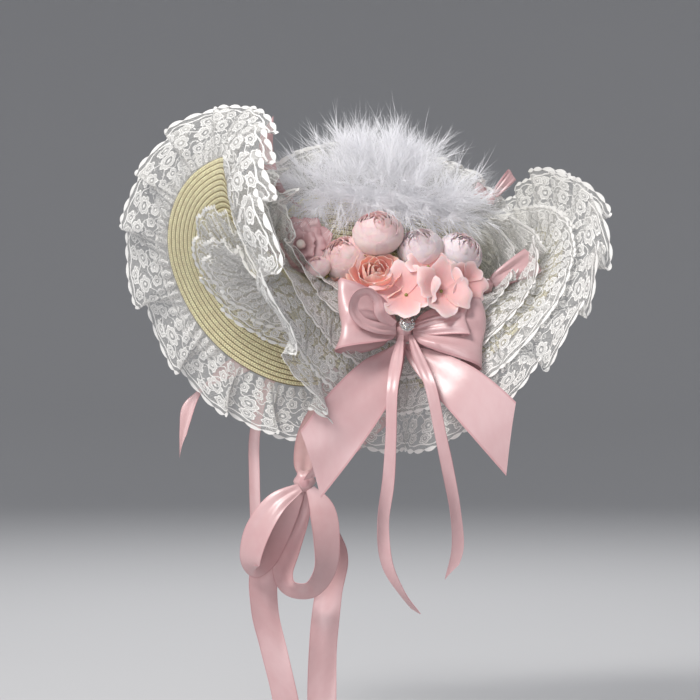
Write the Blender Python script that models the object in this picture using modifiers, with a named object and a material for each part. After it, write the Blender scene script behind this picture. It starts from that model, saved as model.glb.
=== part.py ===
"""Sun hat of sewn straw braid, worn like a bonnet, with lace ruffles, flowers, feathers and satin ribbon.

Metres, +Z up. The origin is the centre of the crown's mouth, where a head holds the hat. The hat's front faces -Y and
its trimmed side, the wearer's left, faces +X. The hat keeps its worn tilt, with the front up.
"""

import math

import bmesh
import bpy
import numpy as np
from mathutils import Vector
from mathutils.bvhtree import BVHTree

MM = 0.001
GAP = 0.4 * MM
"""Clearance between neighbouring pieces."""

# Straw crown and brim
CROWN_HALF_WIDTH = 80 * MM
CROWN_HALF_LENGTH = 94 * MM
CROWN_HEIGHT = 85 * MM
CROWN_SQUARENESS = 3.2
STRAW = 2.5 * MM
CROWN_SIDES, CROWN_ROWS = 28, 7
BRIM_SIDES, BRIM_ROWS = 56, 6
BRIM_SEAM = 1.0 * MM
WORN_TILT = math.radians(-8)
# Azimuth from the front in degrees, mean rise of the brim in degrees, and brim width in millimetres
BRIM_RISE = ((0, 60), (25, 38), (42, 2), (62, -42), (82, -62), (102, -45), (118, -8), (138, 32), (160, 52), (180, 57))
BRIM_WIDTH = ((0, 115), (40, 112), (85, 104), (130, 98), (180, 100))
BRIM_CURL = 0.55

# Lace
LACE = 1.2 * MM
EDGE_LOBES = 28
EDGE_DEPTH = 50 * MM
EDGE_WAVE = 7 * MM
RUFFLE_SEAT = 1.0 * MM
# Ruffles on the brim: name, first and last azimuth in degrees, 1 for the brim's upper side or -1 for its underside,
# inner and outer share of the brim's width, lift and wave in mm, lobes, and columns of faces
BRIM_RUFFLES = (
    ("brim_ruffle_front", -58, 50, 1, 0.5, 0.95, 24, 6, 9, 36),
    ("brim_ruffle_back", 136, 240, 1, 0.5, 0.95, 24, 6, 9, 36),
    ("face_ruffle", -112, 112, -1, 0.12, 0.6, 20, 5, 20, 80),
)

# Lace arch over the crown, from front to back
ARCH_SPREAD = math.radians(62)
ARCH_RADIUS = 84 * MM
ARCH_DEPTH = 42 * MM
ARCH_INWARD = 12 * MM
ARCH_WAVE = 4 * MM
ARCH_LOBES = 9
ARCH_SEAT = 1.0 * MM

# Feather boa along the crown: first and last azimuth in degrees, height on the crown, core radius, and the share of
# that radius at which it is seated
BOA_SPAN = (28, 140)
BOA_HEIGHT = 0.5
BOA_RADIUS = 15 * MM
BOA_SEAT = 0.97
# Rows of down locks on it: elevation in degrees and length in mm
LOCK_ROWS = ((28, 34), (72, 44), (112, 38))
LOCKS_IN_ROW = 7
# Azimuth in degrees of the first lock, from lock to lock, and from row to row
LOCK_FIRST, LOCK_STEP, LOCK_SHIFT = 34, 16, 5
# Share of a lock's length and its radius there in mm
LOCK_TAPER = ((0.1, 0), (0.2, 9), (0.55, 7), (0.82, 3.5), (1.0, 0))

# Satin ribbon, and how far a loop's two ends part at the knot as a share of the loop's depth
SATIN = 1.0 * MM
LOOP_SPREAD = 0.3
LOOP_GAP = 0.2
RIBBON_FOOT = 0.72 * MM
"""How far a ribbon's middle starts from the face of its knot."""

# The trimmed side faces this azimuth, and its places are given as back, up and out in millimetres
TRIM_AZIMUTH = math.radians(72)
OUTWARD = Vector((math.sin(TRIM_AZIMUTH), -math.cos(TRIM_AZIMUTH), 0))
BACKWARD = Vector((math.cos(TRIM_AZIMUTH), math.sin(TRIM_AZIMUTH), 0))
UPWARD = Vector((0, 0, 1))

# Flowers: name, back, up, out, radius in mm, and the azimuth and elevation in degrees that each one faces
BUDS = (
    ("bud_1", 4, 48, 108, 17, 72, 42),
    ("bud_2", -22, 27, 100, 17, 66, 12),
    ("bud_3", 39, 34, 104, 16.5, 86, 24),
    ("bud_4", 73, 31, 94, 16.5, 98, 18),
    ("bud_5", -46, 18, 114, 8.5, 60, 48),
)
# Profile of a bud with its calyx, along its axis: height and radius as shares of its radius
BUD_PROFILE = ((-1.05, 0.15), (-0.95, 0.5), (-0.6, 0.86), (-0.1, 1.0), (0.4, 0.95), (0.8, 0.72), (0.95, 0.48),
               (0.78, 0.3), (0.7, 0.0))
ROSE = ("rose", 3, 8, 118, 21, 76, 10)
ROSE_PROFILE = ((-0.5, 0.1), (-0.4, 0.55), (0.05, 1.0), (0.13, 0.98), (0.0, 0.66), (0.42, 0.6), (0.46, 0.52),
                (0.2, 0.34), (0.55, 0.26), (0.5, 0.0))
BLOSSOMS = (
    ("hydrangea_1", 28, -4, 134, 15, 80, 8),
    ("hydrangea_2", 51, -3, 141, 15, 88, 10),
    ("hydrangea_3", 71, 4, 122, 13, 96, 10),
    ("hydrangea_4", 47, 16, 120, 11, 84, 20),
)
BLOSSOM_PROFILE = ((-0.2, 0.12), (-0.02, 0.95), (0.08, 1.0), (0.06, 0.4), (0.1, 0.0))
STEM_RADIUS = 1.6 * MM
SEAT_ERROR = 0.05 * MM
SEAT_STEPS = 200

# Seats of the bows on the brim: azimuth in degrees, share of the brim's width, and the knot's half sizes in mm
BOW_SEAT = (85, 0.58, (8, 9, 13))
BACK_BOW_SEAT = (122, 0.4, (6, 7, 11))
FAR_BOW_SEAT = (-80, 0.58, (7, 8, 12))
TOP_KNOT = (4, 5, 4)
BROOCH = (8, 8, 3)
CHIN_KNOT = ((-58, -163, 34), (9, 10, 7))
# Loops: name, lean in degrees from the bow's backward side, rise out of the bow's plane in degrees, length, depth,
# knot width and full width in mm
BOW_LOOPS = (
    ("bow_loop_front", 170, 18, 50, 11, 13, 50),
    ("bow_loop_front_inner", 164, 18, 24, 4, 9, 26),
    ("bow_loop_back", -10, 12, 54, 11, 13, 48),
    ("bow_loop_back_inner", 4, 12, 36, 4, 9, 34),
)
BACK_LOOPS = (("back_bow_loop_front", 190, 16, 28, 5, 8, 22), ("back_bow_loop_back", 28, 24, 38, 5, 7, 22))
TOP_LOOPS = (("top_bow_loop_front", 150, 10, 14, 3, 5, 12), ("top_bow_loop_back", 50, 10, 24, 3, 5, 11))
FAR_LOOPS = (("far_bow_loop_front", 6, 16, 44, 8, 12, 40), ("far_bow_loop_back", 174, 8, 44, 8, 12, 40))
CHIN_LOOPS = (("chin_loop_front", 236, 0, 74, 10, 8, 24), ("chin_loop_back", 286, 0, 96, 10, 8, 24))

# Ribbons from a knot: the foot's direction on the knot as across, up and out, then rows from that foot of back, up,
# out and width in mm, and the width's lean in degrees from backward
BOW_RIBBONS = (
    ("bow_tail_front", 10, (-0.2, -1, 0.2),
     ((0, 0, 0, 4, 0), (-5, -15, 5, 15, 10), (-16, -30, 19, 32, 20), (-32, -52, 34, 46, 26), (-49, -80, 41, 48, 22),
      (-60, -108, 38, 30, 14), (-65, -128, 32, 3, 8))),
    ("bow_tail_back", 10, (0.2, -1, -0.4),
     ((0, 0, 0, 4, 0), (5, -13, 3, 13, -10), (20, -26, 18, 30, -30), (42, -41, 31, 46, -44), (64, -60, 32, 47, -52),
      (79, -82, 34, 26, -40), (85, -104, 30, 3, -20))),
    ("bow_streamer_front", 16, (-0.5, -0.9, 1.2),
     ((0, 0, 0, 4, 0), (-4, -20, 16, 10, 4), (-8, -46, 33, 10, 0), (-9, -82, 34, 10, 6), (-11, -117, 30, 10, -8),
      (-15, -152, 25, 10, 6), (-12, -184, 20, 10, 20), (0, -208, 17, 9, 36), (14, -224, 15, 2, 40))),
    ("bow_streamer_back", 14, (0.5, -0.9, 1.2),
     ((0, 0, 0, 4, 0), (7, -20, 18, 10, -8), (16, -43, 32, 10, -4), (23, -77, 32, 10, 4), (30, -110, 27, 10, -6),
      (36, -142, 22, 10, 4), (38, -172, 17, 10, 8), (30, -198, 12, 4, 30))),
)
FAR_RIBBONS = (
    ("far_tail", 10, (0.5, -0.8, 0.5),
     ((0, 0, 0, 3, 0), (-5, -10, -9, 8, 50), (-32, -20, -20, 26, 76), (-70, -34, -24, 30, 60), (-92, -58, -20, 28, 30),
      (-98, -84, -14, 18, 12), (-100, -108, -8, 2, 20))),
    ("far_streamer", 12, (-0.2, -1, 0.6),
     ((0, 0, 0, 4, 0), (-14, -24, -20, 10, -8), (-32, -50, -26, 10, -4), (-40, -90, -24, 10, 4),
      (-40, -130, -20, 10, -6), (-39, -166, -18, 10, 4), (-38, -200, -16, 8, 10))),
)
CHIN_RIBBONS = (
    ("chin_tail_front", 10, (-0.5, -0.7, -0.8),
     ((0, 0, 0, 4, 0), (-16, -34, -12, 22, 20), (-31, -69, -12, 25, 4), (-31, -106, -10, 25, -6),
      (-23, -141, -6, 25, -12), (-13, -183, -4, 25, -12), (-7, -219, -4, 25, -4))),
    ("chin_tail_back", 10, (0.5, -0.7, -0.8),
     ((0, 0, 0, 4, 0), (14, -34, -12, 22, -16), (22, -64, -12, 25, 4), (16, -97, -10, 25, 10), (12, -139, -6, 25, 4),
      (11, -181, -4, 25, -2), (11, -219, -4, 25, 2))),
)
# The small ribbon end at the crown's front: back, up, out, width and lean
FRONT_RIBBON = ((0, 0, 0, 3, -30), (-2, 9, 6, 8, -25), (-4, 24, 10, 14, -20), (-6.5, 50, 13, 13, -28),
                (-8.5, 80, 17, 3, -40))
FRONT_RIBBON_SEAT = (24, 0.36)
# Chin strap routes: x, y and z in mm, the width's direction in degrees from +X towards +Y, and the width in mm
STRAP_NEAR = ((77.6, 14, -2.9, 97, 25), (83, 8, -45, 84, 25), (82, -10, -92, 80, 25), (62, -34, -124, 86, 25),
              (40, -54, -148, 94, 20), (22.9, -67.9, -161, 118, 4))
STRAP_FAR = ((-77.6, 14, -2.9, 83, 25), (-83, 8, -45, 96, 25), (-80, -14, -92, 100, 25), (-56, -38, -124, 95, 25),
             (-22, -54, -150, 86, 20), (6.6, -63.4, -161, 80, 5))

# Satin rosette: back, up and out in mm, its radius, and the azimuth and elevation that it faces
ROSETTE = ("rosette", -60, 39, 79, 21, 50, 8)
ROSETTE_PROFILE = ((-0.3, 0.12), (-0.1, 0.7), (0.0, 1.0), (0.1, 0.98), (0.0, 0.6), (-0.06, 0.0))
PEARL_RADIUS = 4 * MM


def clear_scene():
    """Empties the scene, so that the hat is all that it holds."""
    for obj in list(bpy.data.objects):
        bpy.data.objects.remove(obj, do_unlink=True)


def make_collection(name):
    """A collection for the hat's pieces."""
    collection = bpy.data.collections.new(name)
    bpy.context.scene.collection.children.link(collection)
    return collection


def make_material(name, colour, roughness, metallic=0.0):
    """A Principled material of one colour."""
    material = bpy.data.materials.new(name)
    material.use_nodes = True
    shader = material.node_tree.nodes["Principled BSDF"]
    shader.inputs["Base Color"].default_value = (*colour, 1.0)
    shader.inputs["Roughness"].default_value = roughness
    shader.inputs["Metallic"].default_value = metallic
    material.diffuse_color = (*colour, 1.0)
    return material


def from_table(table, azimuth):
    """A value by azimuth in radians, read smoothly from a table that mirrors about the front."""
    degrees = np.abs((np.degrees(azimuth) + 180) % 360 - 180)
    turns = np.array([row[0] for row in table], float)
    values = np.array([row[1] for row in table], float)
    turns = np.concatenate([-turns[:0:-1], turns, 360 - turns[-2::-1]])
    values = np.concatenate([values[:0:-1], values, values[-2::-1]])
    slopes = np.gradient(values, turns)
    i = np.clip(np.searchsorted(turns, degrees, side="right") - 1, 0, len(turns) - 2)
    span = turns[i + 1] - turns[i]
    t = (degrees - turns[i]) / span
    start = (2 * t**3 - 3 * t**2 + 1) * values[i] + (t**3 - 2 * t**2 + t) * span * slopes[i]
    end = (3 * t**2 - 2 * t**3) * values[i + 1] + (t**3 - t**2) * span * slopes[i + 1]
    return start + end


def worn(points):
    """Points turned by the hat's worn tilt about X."""
    cos, sin = math.cos(WORN_TILT), math.sin(WORN_TILT)
    x, y, z = points[..., 0], points[..., 1], points[..., 2]
    return np.stack([x, cos * y - sin * z, sin * y + cos * z], axis=-1)


def brim(azimuth, share):
    """Points of the brim's middle surface: each section is an arc whose slope grows from the crown to the edge."""
    azimuth = np.asarray(azimuth, float)
    share = np.broadcast_to(np.asarray(share, float), azimuth.shape)
    rise = np.radians(from_table(BRIM_RISE, azimuth))
    width = from_table(BRIM_WIDTH, azimuth) * MM
    out = np.stack([np.sin(azimuth) / CROWN_HALF_WIDTH, -np.cos(azimuth) / CROWN_HALF_LENGTH], axis=-1)
    out /= np.linalg.norm(out, axis=-1, keepdims=True)
    half_turn = BRIM_CURL * rise * share
    chord = width * share * np.sinc(half_turn / np.pi)
    slope = (1 - BRIM_CURL) * rise + half_turn
    across = BRIM_SEAM + chord * np.cos(slope)
    x = CROWN_HALF_WIDTH * np.sin(azimuth) + out[..., 0] * across
    y = -CROWN_HALF_LENGTH * np.cos(azimuth) + out[..., 1] * across
    return worn(np.stack([x, y, chord * np.sin(slope)], axis=-1))


def unit(vectors):
    """Vectors scaled to length one."""
    return vectors / np.linalg.norm(vectors, axis=-1, keepdims=True)


def brim_frame(azimuth, share):
    """The brim's outward direction and its upper side's normal at each place."""
    step = 0.01
    azimuth = np.asarray(azimuth, float)
    outward = unit(brim(azimuth, share) - brim(azimuth, share - step))
    around = unit(brim(azimuth + step, share) - brim(azimuth - step, share))
    return outward, unit(np.cross(outward, around))


def edge_azimuth(turn):
    """Azimuths that divide the brim's edge into equal lengths, for turns from 0 to 1."""
    azimuth = np.linspace(-np.pi, np.pi, 721)
    steps = np.linalg.norm(np.diff(brim(azimuth, 1.0), axis=0), axis=-1)
    length = np.concatenate([[0], np.cumsum(steps)])
    return np.interp(turn, length / length[-1], azimuth)


def crown(azimuth, height):
    """Points of the crown's outer surface, a dome with squared shoulders, for heights from 0 at the mouth to 1."""
    rise = np.broadcast_to(np.asarray(height, float), np.shape(azimuth)) * np.pi / 2
    flat = np.cos(rise).clip(0, 1) ** (2 / CROWN_SQUARENESS)
    tall = np.sin(rise).clip(0, 1) ** (2 / CROWN_SQUARENESS)
    x = CROWN_HALF_WIDTH * flat * np.sin(azimuth)
    y = -CROWN_HALF_LENGTH * flat * np.cos(azimuth)
    return worn(np.stack([x, y, CROWN_HEIGHT * tall], axis=-1))


def crown_normal(azimuth, height):
    """The crown's outward normal at each place."""
    step = 0.01
    up = crown(azimuth, height + step) - crown(azimuth, height - step)
    around = crown(azimuth + step, height) - crown(azimuth - step, height)
    return unit(np.cross(around, up))


def trim_place(back, up, out):
    """A point on the trimmed side from its distances in millimetres."""
    return (BACKWARD * back + UPWARD * up + OUTWARD * out) * MM


def facing(azimuth, elevation):
    """Backward, up and out directions of a piece that faces an azimuth and elevation in degrees."""
    turn, lift = math.radians(azimuth), math.radians(elevation)
    level = Vector((math.sin(turn), -math.cos(turn), 0))
    across = Vector((math.cos(turn), math.sin(turn), 0))
    out = level * math.cos(lift) + UPWARD * math.sin(lift)
    return across, out.cross(across), out


def curve_through(rows, samples):
    """A smooth run of samples through table rows, evenly spaced by row."""
    rows = np.array(rows, float)
    slopes = np.gradient(rows, axis=0)
    place = np.linspace(0, len(rows) - 1, samples)
    i = np.minimum(place.astype(int), len(rows) - 2)
    t = (place - i)[:, None]
    start = (2 * t**3 - 3 * t**2 + 1) * rows[i] + (t**3 - 2 * t**2 + t) * slopes[i]
    end = (3 * t**2 - 2 * t**3) * rows[i + 1] + (t**3 - t**2) * slopes[i + 1]
    return start + end


def finish(name, mesh, material):
    """Links a finished bmesh as a smooth-shaded object whose faces point out."""
    bmesh.ops.recalc_face_normals(mesh, faces=mesh.faces)
    if mesh.calc_volume(signed=True) < 0:
        bmesh.ops.reverse_faces(mesh, faces=mesh.faces)
    data = bpy.data.meshes.new(name)
    mesh.to_mesh(data)
    mesh.free()
    data.materials.append(material)
    data.shade_smooth()
    obj = bpy.data.objects.new(name, data)
    HAT.objects.link(obj)
    return obj


def surface(name, columns, rows, place, material, thickness=None):
    """A grid whose vertices go to place(across, along), both 0 to 1, made a wall of the given thickness."""
    mesh = bmesh.new()
    bmesh.ops.create_grid(mesh, x_segments=columns, y_segments=rows, size=0.5)
    flat = np.array([vertex.co for vertex in mesh.verts])
    for vertex, point in zip(mesh.verts, place(flat[:, 0] + 0.5, flat[:, 1] + 0.5)):
        vertex.co = Vector(point)
    bmesh.ops.remove_doubles(mesh, verts=mesh.verts, dist=1e-6)
    obj = finish(name, mesh, material)
    if thickness:
        wall = obj.modifiers.new("wall", "SOLIDIFY")
        wall.thickness = thickness
        wall.offset = 0
        wall.use_quality_normals = True
    return obj


def turned(name, base, direction, profile, sides, material, lobes=0, lobe_depth=0.0):
    """A closed body turned about a direction, from rows of height and radius in metres, optionally lobed."""
    axis = Vector(direction).normalized()
    side = axis.orthogonal().normalized()
    other = axis.cross(side)
    heights, radii = np.array(profile, float).T

    def place(around, along):
        ring = np.rint(along * (len(radii) - 1)).astype(int)
        angle = 2 * np.pi * around
        radius = radii[ring] * (1 + lobe_depth * np.cos(lobes * angle) * (radii[ring] > 0.6 * radii.max()))
        level = np.outer(heights[ring], axis)
        return np.array(base) + level + np.outer(radius * np.cos(angle), side) + np.outer(radius * np.sin(angle), other)

    return surface(name, sides, len(radii) - 1, place, material)


def tube(name, route, radii, sides, material):
    """A closed tapering body along a route of points, pointed where its radius is 0."""
    route = np.array(route, float)
    radii = np.array(radii, float)
    heading = unit(np.gradient(route, axis=0))
    side = unit(np.cross(heading, np.array([0.31, 0.17, 0.93])))
    other = np.cross(heading, side)

    def place(around, along):
        ring = np.rint(along * (len(radii) - 1)).astype(int)
        angle = 2 * np.pi * around[:, None]
        spread = side[ring] * np.cos(angle) + other[ring] * np.sin(angle)
        return route[ring] + radii[ring][:, None] * spread

    return surface(name, sides, len(radii) - 1, place, material)


def fuse(name, bodies, material):
    """Joins overlapping bodies into one by Boolean unions."""
    main = bodies[0]
    main.name = name
    for body in bodies[1:]:
        union = main.modifiers.new("union", "BOOLEAN")
        union.operation = "UNION"
        union.object = body
        graph = bpy.context.evaluated_depsgraph_get()
        joined = bpy.data.meshes.new_from_object(main.evaluated_get(graph))
        main.modifiers.clear()
        main.data = joined
        bpy.data.objects.remove(body, do_unlink=True)
    main.data.name = name
    main.data.materials.clear()
    main.data.materials.append(material)
    main.data.shade_smooth()
    return main


def make_straw_crown():
    """The crown, open below, with walls of one braid's thickness."""

    def place(around, along):
        azimuth = 2 * np.pi * around
        inset = crown_normal(azimuth, along.clip(0.02, 0.97)) * STRAW / 2
        inset[along > 0.99] = worn(np.array([0, 0, STRAW / 2]))
        return crown(azimuth, along) - inset

    return surface("straw_crown", CROWN_SIDES, CROWN_ROWS, place, STRAW_MATERIAL, STRAW)


def make_straw_brim():
    """The wide brim, up at the front and back and down over the ears."""

    def place(around, along):
        return brim(2 * np.pi * around, along)

    return surface("straw_brim", BRIM_SIDES, BRIM_ROWS, place, STRAW_MATERIAL, STRAW)


def make_edge_ruffle():
    """Lace gathered all round the brim's edge, in even lobes that deepen towards the hem."""

    def place(around, along):
        azimuth = edge_azimuth(around % 1)
        outward, normal = brim_frame(azimuth, 1.0)
        wave = np.sin(2 * np.pi * EDGE_LOBES * around + 0.5 * np.sin(2 * np.pi * EDGE_LOBES * around))
        base = brim(azimuth, 1.0) + outward * (GAP + EDGE_DEPTH * along)[:, None]
        return base + normal * (EDGE_WAVE * wave * along)[:, None]

    surface("edge_ruffle", EDGE_LOBES * 4, 2, place, LACE_MATERIAL, LACE)


def make_brim_ruffle(row):
    """A lace tier on the brim, which lifts off it towards the hem in even lobes."""
    name, first, last, side, inner, outer, lift, wave, lobes, columns = row

    def place(across, along):
        azimuth = np.radians(first + (last - first) * across)
        share = inner + (outer - inner) * along
        normal = brim_frame(azimuth, share)[1]
        gather = np.sin(2 * np.pi * lobes * across)
        height = STRAW / 2 + LACE / 2 + RUFFLE_SEAT + (lift + wave * gather) * along * MM
        return brim(azimuth, share) + side * normal * height[:, None]

    surface(name, columns, 2, place, LACE_MATERIAL, LACE)


def arch(across, along):
    """Points of the lace arch over the crown: across it runs from front to back, along from the crown to the hem."""
    lean = ARCH_SPREAD * (2 * across - 1)
    y = ARCH_RADIUS * np.sin(lean)
    x = ARCH_INWARD + ARCH_WAVE * np.sin(ARCH_LOBES * 2 * np.pi * across) * along
    far = ((ARCH_INWARD / CROWN_HALF_WIDTH) ** 2 + (y / CROWN_HALF_LENGTH) ** 2) ** (CROWN_SQUARENESS / 2)
    z = CROWN_HEIGHT * (1 - far) ** (1 / CROWN_SQUARENESS) + ARCH_SEAT
    y = y + ARCH_DEPTH * along * np.sin(lean)
    z = z + ARCH_DEPTH * along * np.cos(lean)
    return worn(np.stack([x, y, z], axis=-1))


def make_crown_lace():
    """The lace arch that stands on the crown behind the feathers."""
    surface("crown_lace", ARCH_LOBES * 4, 1, arch, LACE_MATERIAL, LACE)


def make_feather_boa():
    """A boa along the crown's near shoulder: a soft core with locks of down fused to it."""
    seat = BOA_SEAT * BOA_RADIUS
    azimuth = np.radians(np.linspace(*BOA_SPAN, 9))
    route = crown(azimuth, BOA_HEIGHT) + crown_normal(azimuth, BOA_HEIGHT) * seat
    taper = np.array([0, 0.75, 1, 1, 1, 1, 1, 0.75, 0]) * BOA_RADIUS
    bodies = [tube("feather_boa", route, taper, 8, FEATHER_MATERIAL)]
    shares, radii = np.array(LOCK_TAPER).T
    for row, (lift, length) in enumerate(LOCK_ROWS):
        for step in range(LOCKS_IN_ROW):
            turn = math.radians(LOCK_FIRST + LOCK_STEP * step + LOCK_SHIFT * row)
            foot = crown(turn, BOA_HEIGHT) + crown_normal(turn, BOA_HEIGHT) * seat
            level = np.array([math.sin(turn), -math.cos(turn), 0])
            lean = math.radians(lift + 6 * math.sin(2.4 * step + row))
            heading = level * math.cos(lean) + np.array([0, 0, math.sin(lean)])
            reach = length * MM * (1 + 0.12 * math.cos(1.9 * step + 2 * row))
            bodies.append(tube("lock", foot + np.outer(shares, heading * reach), radii * MM, 5, FEATHER_MATERIAL))
    fuse("feather_boa", bodies, FEATHER_MATERIAL)


def straw_walls(*pieces):
    """Finished pieces as trees that tell how far a place is from their walls."""
    graph = bpy.context.evaluated_depsgraph_get()
    return [BVHTree.FromObject(piece, graph) for piece in pieces]


def run_to_straw(walls, start, direction):
    """How far a point runs from a place until it is one gap away from the straw."""
    run = 0.0
    for _ in range(SEAT_STEPS):
        room = min(wall.find_nearest(start + direction * run)[3] for wall in walls) - GAP
        if room < SEAT_ERROR:
            return run
        run += 0.8 * room
    raise ValueError("this line does not reach the straw")


def make_flower(walls, row, profile, sides, material, lobes=0, lobe_depth=0.0):
    """A flower with its stem: the stem's pointed foot ends just short of the straw."""
    name, back, up, out, radius, azimuth, elevation = row
    centre = trim_place(back, up, out)
    heading = facing(azimuth, elevation)[2]
    radius = radius * MM
    start = -run_to_straw(walls, centre, -heading)
    neck = profile[0][0] * radius
    stem = ((start, 0), (start + STEM_RADIUS, STEM_RADIUS), (neck, STEM_RADIUS))
    shape = [(height * radius, size * radius) for height, size in profile]
    turned(name, centre, heading, [*stem, *shape], sides, material, lobes, lobe_depth)


def make_flowers(walls):
    """Buds, an open rose and small four-petalled blossoms."""
    for row in BUDS:
        make_flower(walls, row, BUD_PROFILE, 10, BUD_MATERIAL)
    make_flower(walls, ROSE, ROSE_PROFILE, 15, ROSE_MATERIAL, 5, 0.1)
    for row in BLOSSOMS:
        make_flower(walls, row, BLOSSOM_PROFILE, 12, BLOSSOM_MATERIAL, 4, 0.16)


def make_knot(name, centre, directions, size, material):
    """A knot: a soft rounded body with half sizes across, up and out in millimetres."""
    across, up, out = directions
    mesh = bmesh.new()
    bmesh.ops.create_uvsphere(mesh, u_segments=10, v_segments=6, radius=1.0)
    for vertex in mesh.verts:
        x, y, z = vertex.co
        vertex.co = centre + (across * x * size[0] + up * y * size[1] + out * z * size[2]) * MM
    return finish(name, mesh, material)


def make_loop(row, centre, directions, size):
    """A bow loop: the ribbon leaves the knot, turns over at its far end and comes back behind itself."""
    name, lean, rise, length, depth, knot_width, full_width = row
    across, up, out = (np.array(direction) for direction in directions)
    lean, rise = math.radians(lean), math.radians(rise)
    level = across * math.cos(lean) + up * math.sin(lean)
    side = up * math.cos(lean) - across * math.sin(lean)
    slim = math.sqrt(1 - (LOOP_SPREAD * depth / size[2]) ** 2)
    start = slim / math.hypot(math.cos(lean) / size[0], math.sin(lean) / size[1])
    start += LOOP_GAP + LOOP_SPREAD * depth * math.sin(rise)
    reach = level * math.cos(rise) + out * math.sin(rise)
    out = out * math.cos(rise) - level * math.sin(rise)

    def place(along, turn):
        far = np.sin(np.pi * turn)
        ahead = (start + length * far**0.85) * MM
        lift = depth * np.cos(np.pi * turn) * (LOOP_SPREAD + (1 - LOOP_SPREAD) * np.sqrt(far)) * MM
        half = (knot_width + (full_width - knot_width) * np.sqrt(far)) / 2 * MM
        offset = np.outer(ahead, reach) + np.outer(lift, out) + np.outer(half * (2 * along - 1), side)
        return np.array(centre) + offset

    surface(name, 1, 12, place, SATIN_MATERIAL, SATIN)


def make_ribbon(name, origin, rows, samples):
    """A ribbon from an origin along table rows of back, up, out, width and lean."""

    def place(edge, along):
        run = curve_through(rows, samples + 1)[np.rint(along * samples).astype(int)]
        lean = np.radians(run[:, 4])
        width = np.outer(np.cos(lean), BACKWARD) + np.outer(np.sin(lean), UPWARD)
        centre = np.outer(run[:, 0], BACKWARD) + np.outer(run[:, 1], UPWARD) + np.outer(run[:, 2], OUTWARD)
        return np.array(origin) + (centre + width * (run[:, 3] * (edge - 0.5))[:, None]) * MM

    surface(name, 1, samples, place, SATIN_MATERIAL, SATIN)


def make_knot_ribbons(table, centre, directions, size):
    """The ribbons that leave a knot, each from its own place on the knot's surface."""
    for name, samples, foot, rows in table:
        reach = MM / math.sqrt(sum((part / half) ** 2 for part, half in zip(foot, size)))
        start = Vector(centre)
        normal = Vector((0, 0, 0))
        for direction, part, half in zip(directions, foot, size):
            start += direction * part * reach
            normal += direction * part / half**2
        start += normal.normalized() * RIBBON_FOOT
        make_ribbon(name, start, rows, samples)


def make_strap(name, rows, samples):
    """One side of the chin strap along table rows of x, y, z, the width's direction and the width."""

    def place(edge, along):
        run = curve_through(rows, samples + 1)[np.rint(along * samples).astype(int)]
        turn = np.radians(run[:, 3])
        width = worn(np.stack([np.cos(turn), np.sin(turn), np.zeros_like(turn)], axis=-1))
        return (run[:, :3] + width * (run[:, 4] * (edge - 0.5))[:, None]) * MM

    surface(name, 1, samples, place, SATIN_MATERIAL, SATIN)


def bow_seat(walls, seat):
    """The centre and directions of a bow that is sewn to the brim by its knot."""
    azimuth, share, size = seat
    turn = np.radians([azimuth])
    out = Vector(brim_frame(turn, share)[1][0])
    above = Vector(brim(turn, share)[0]) + out * size[2] * MM
    centre = above + out * (size[2] * MM - run_to_straw(walls, above, -out))
    across = UPWARD.cross(out).normalized()
    return centre, (across, out.cross(across), out)


def make_bow(walls):
    """The big satin bow: its knot with a stone brooch, four loops, two wide tails and two narrow streamers."""
    centre, directions = bow_seat(walls, BOW_SEAT)
    size = BOW_SEAT[2]
    make_knot("bow_knot", centre, directions, size, SATIN_MATERIAL)
    brooch = centre + directions[2] * ((size[2] + BROOCH[2]) * MM + GAP)
    make_knot("bow_brooch", brooch, directions, BROOCH, STONE_MATERIAL)
    for row in BOW_LOOPS:
        make_loop(row, centre, directions, size)
    make_knot_ribbons(BOW_RIBBONS, centre, directions, size)


def make_small_bows(walls):
    """The bow behind the flowers and the little bow on the lace arch."""
    centre, directions = bow_seat(walls, BACK_BOW_SEAT)
    make_knot("back_bow_knot", centre, directions, BACK_BOW_SEAT[2], SATIN_MATERIAL)
    for row in BACK_LOOPS:
        make_loop(row, centre, directions, BACK_BOW_SEAT[2])
    top = arch(np.array([(ARCH_LOBES - 0.75) / ARCH_LOBES]), np.array([0.75]))[0]
    centre = Vector(top) + Vector((LACE / 2 + GAP + TOP_KNOT[2] * MM, 0, 0))
    directions = facing(90, 0)
    make_knot("top_bow_knot", centre, directions, TOP_KNOT, SATIN_MATERIAL)
    for row in TOP_LOOPS:
        make_loop(row, centre, directions, TOP_KNOT)


def make_far_bow(walls):
    """The bow on the wearer's right, with one wide tail and one streamer."""
    centre, directions = bow_seat(walls, FAR_BOW_SEAT)
    size = FAR_BOW_SEAT[2]
    make_knot("far_bow_knot", centre, directions, size, SATIN_MATERIAL)
    for row in FAR_LOOPS:
        make_loop(row, centre, directions, size)
    make_knot_ribbons(FAR_RIBBONS, centre, directions, size)


def make_rosette(walls):
    """The pleated satin rosette with its pearl, and the small ribbon end above it."""
    make_flower(walls, ROSETTE, ROSETTE_PROFILE, 18, SATIN_MATERIAL, 6, 0.1)
    name, back, up, out, radius, azimuth, elevation = ROSETTE
    heading = facing(azimuth, elevation)[2]
    height = ROSETTE_PROFILE[-1][0] * radius * MM + PEARL_RADIUS + GAP
    centre = trim_place(back, up, out) + heading * height
    make_knot("rosette_pearl", centre, facing(azimuth, elevation), [PEARL_RADIUS / MM] * 3, PEARL_MATERIAL)
    azimuth = np.radians([FRONT_RIBBON_SEAT[0]])
    seat = crown(azimuth, FRONT_RIBBON_SEAT[1])[0] + crown_normal(azimuth, FRONT_RIBBON_SEAT[1])[0] * (GAP + SATIN)
    make_ribbon("front_ribbon", seat, FRONT_RIBBON, 6)


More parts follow.
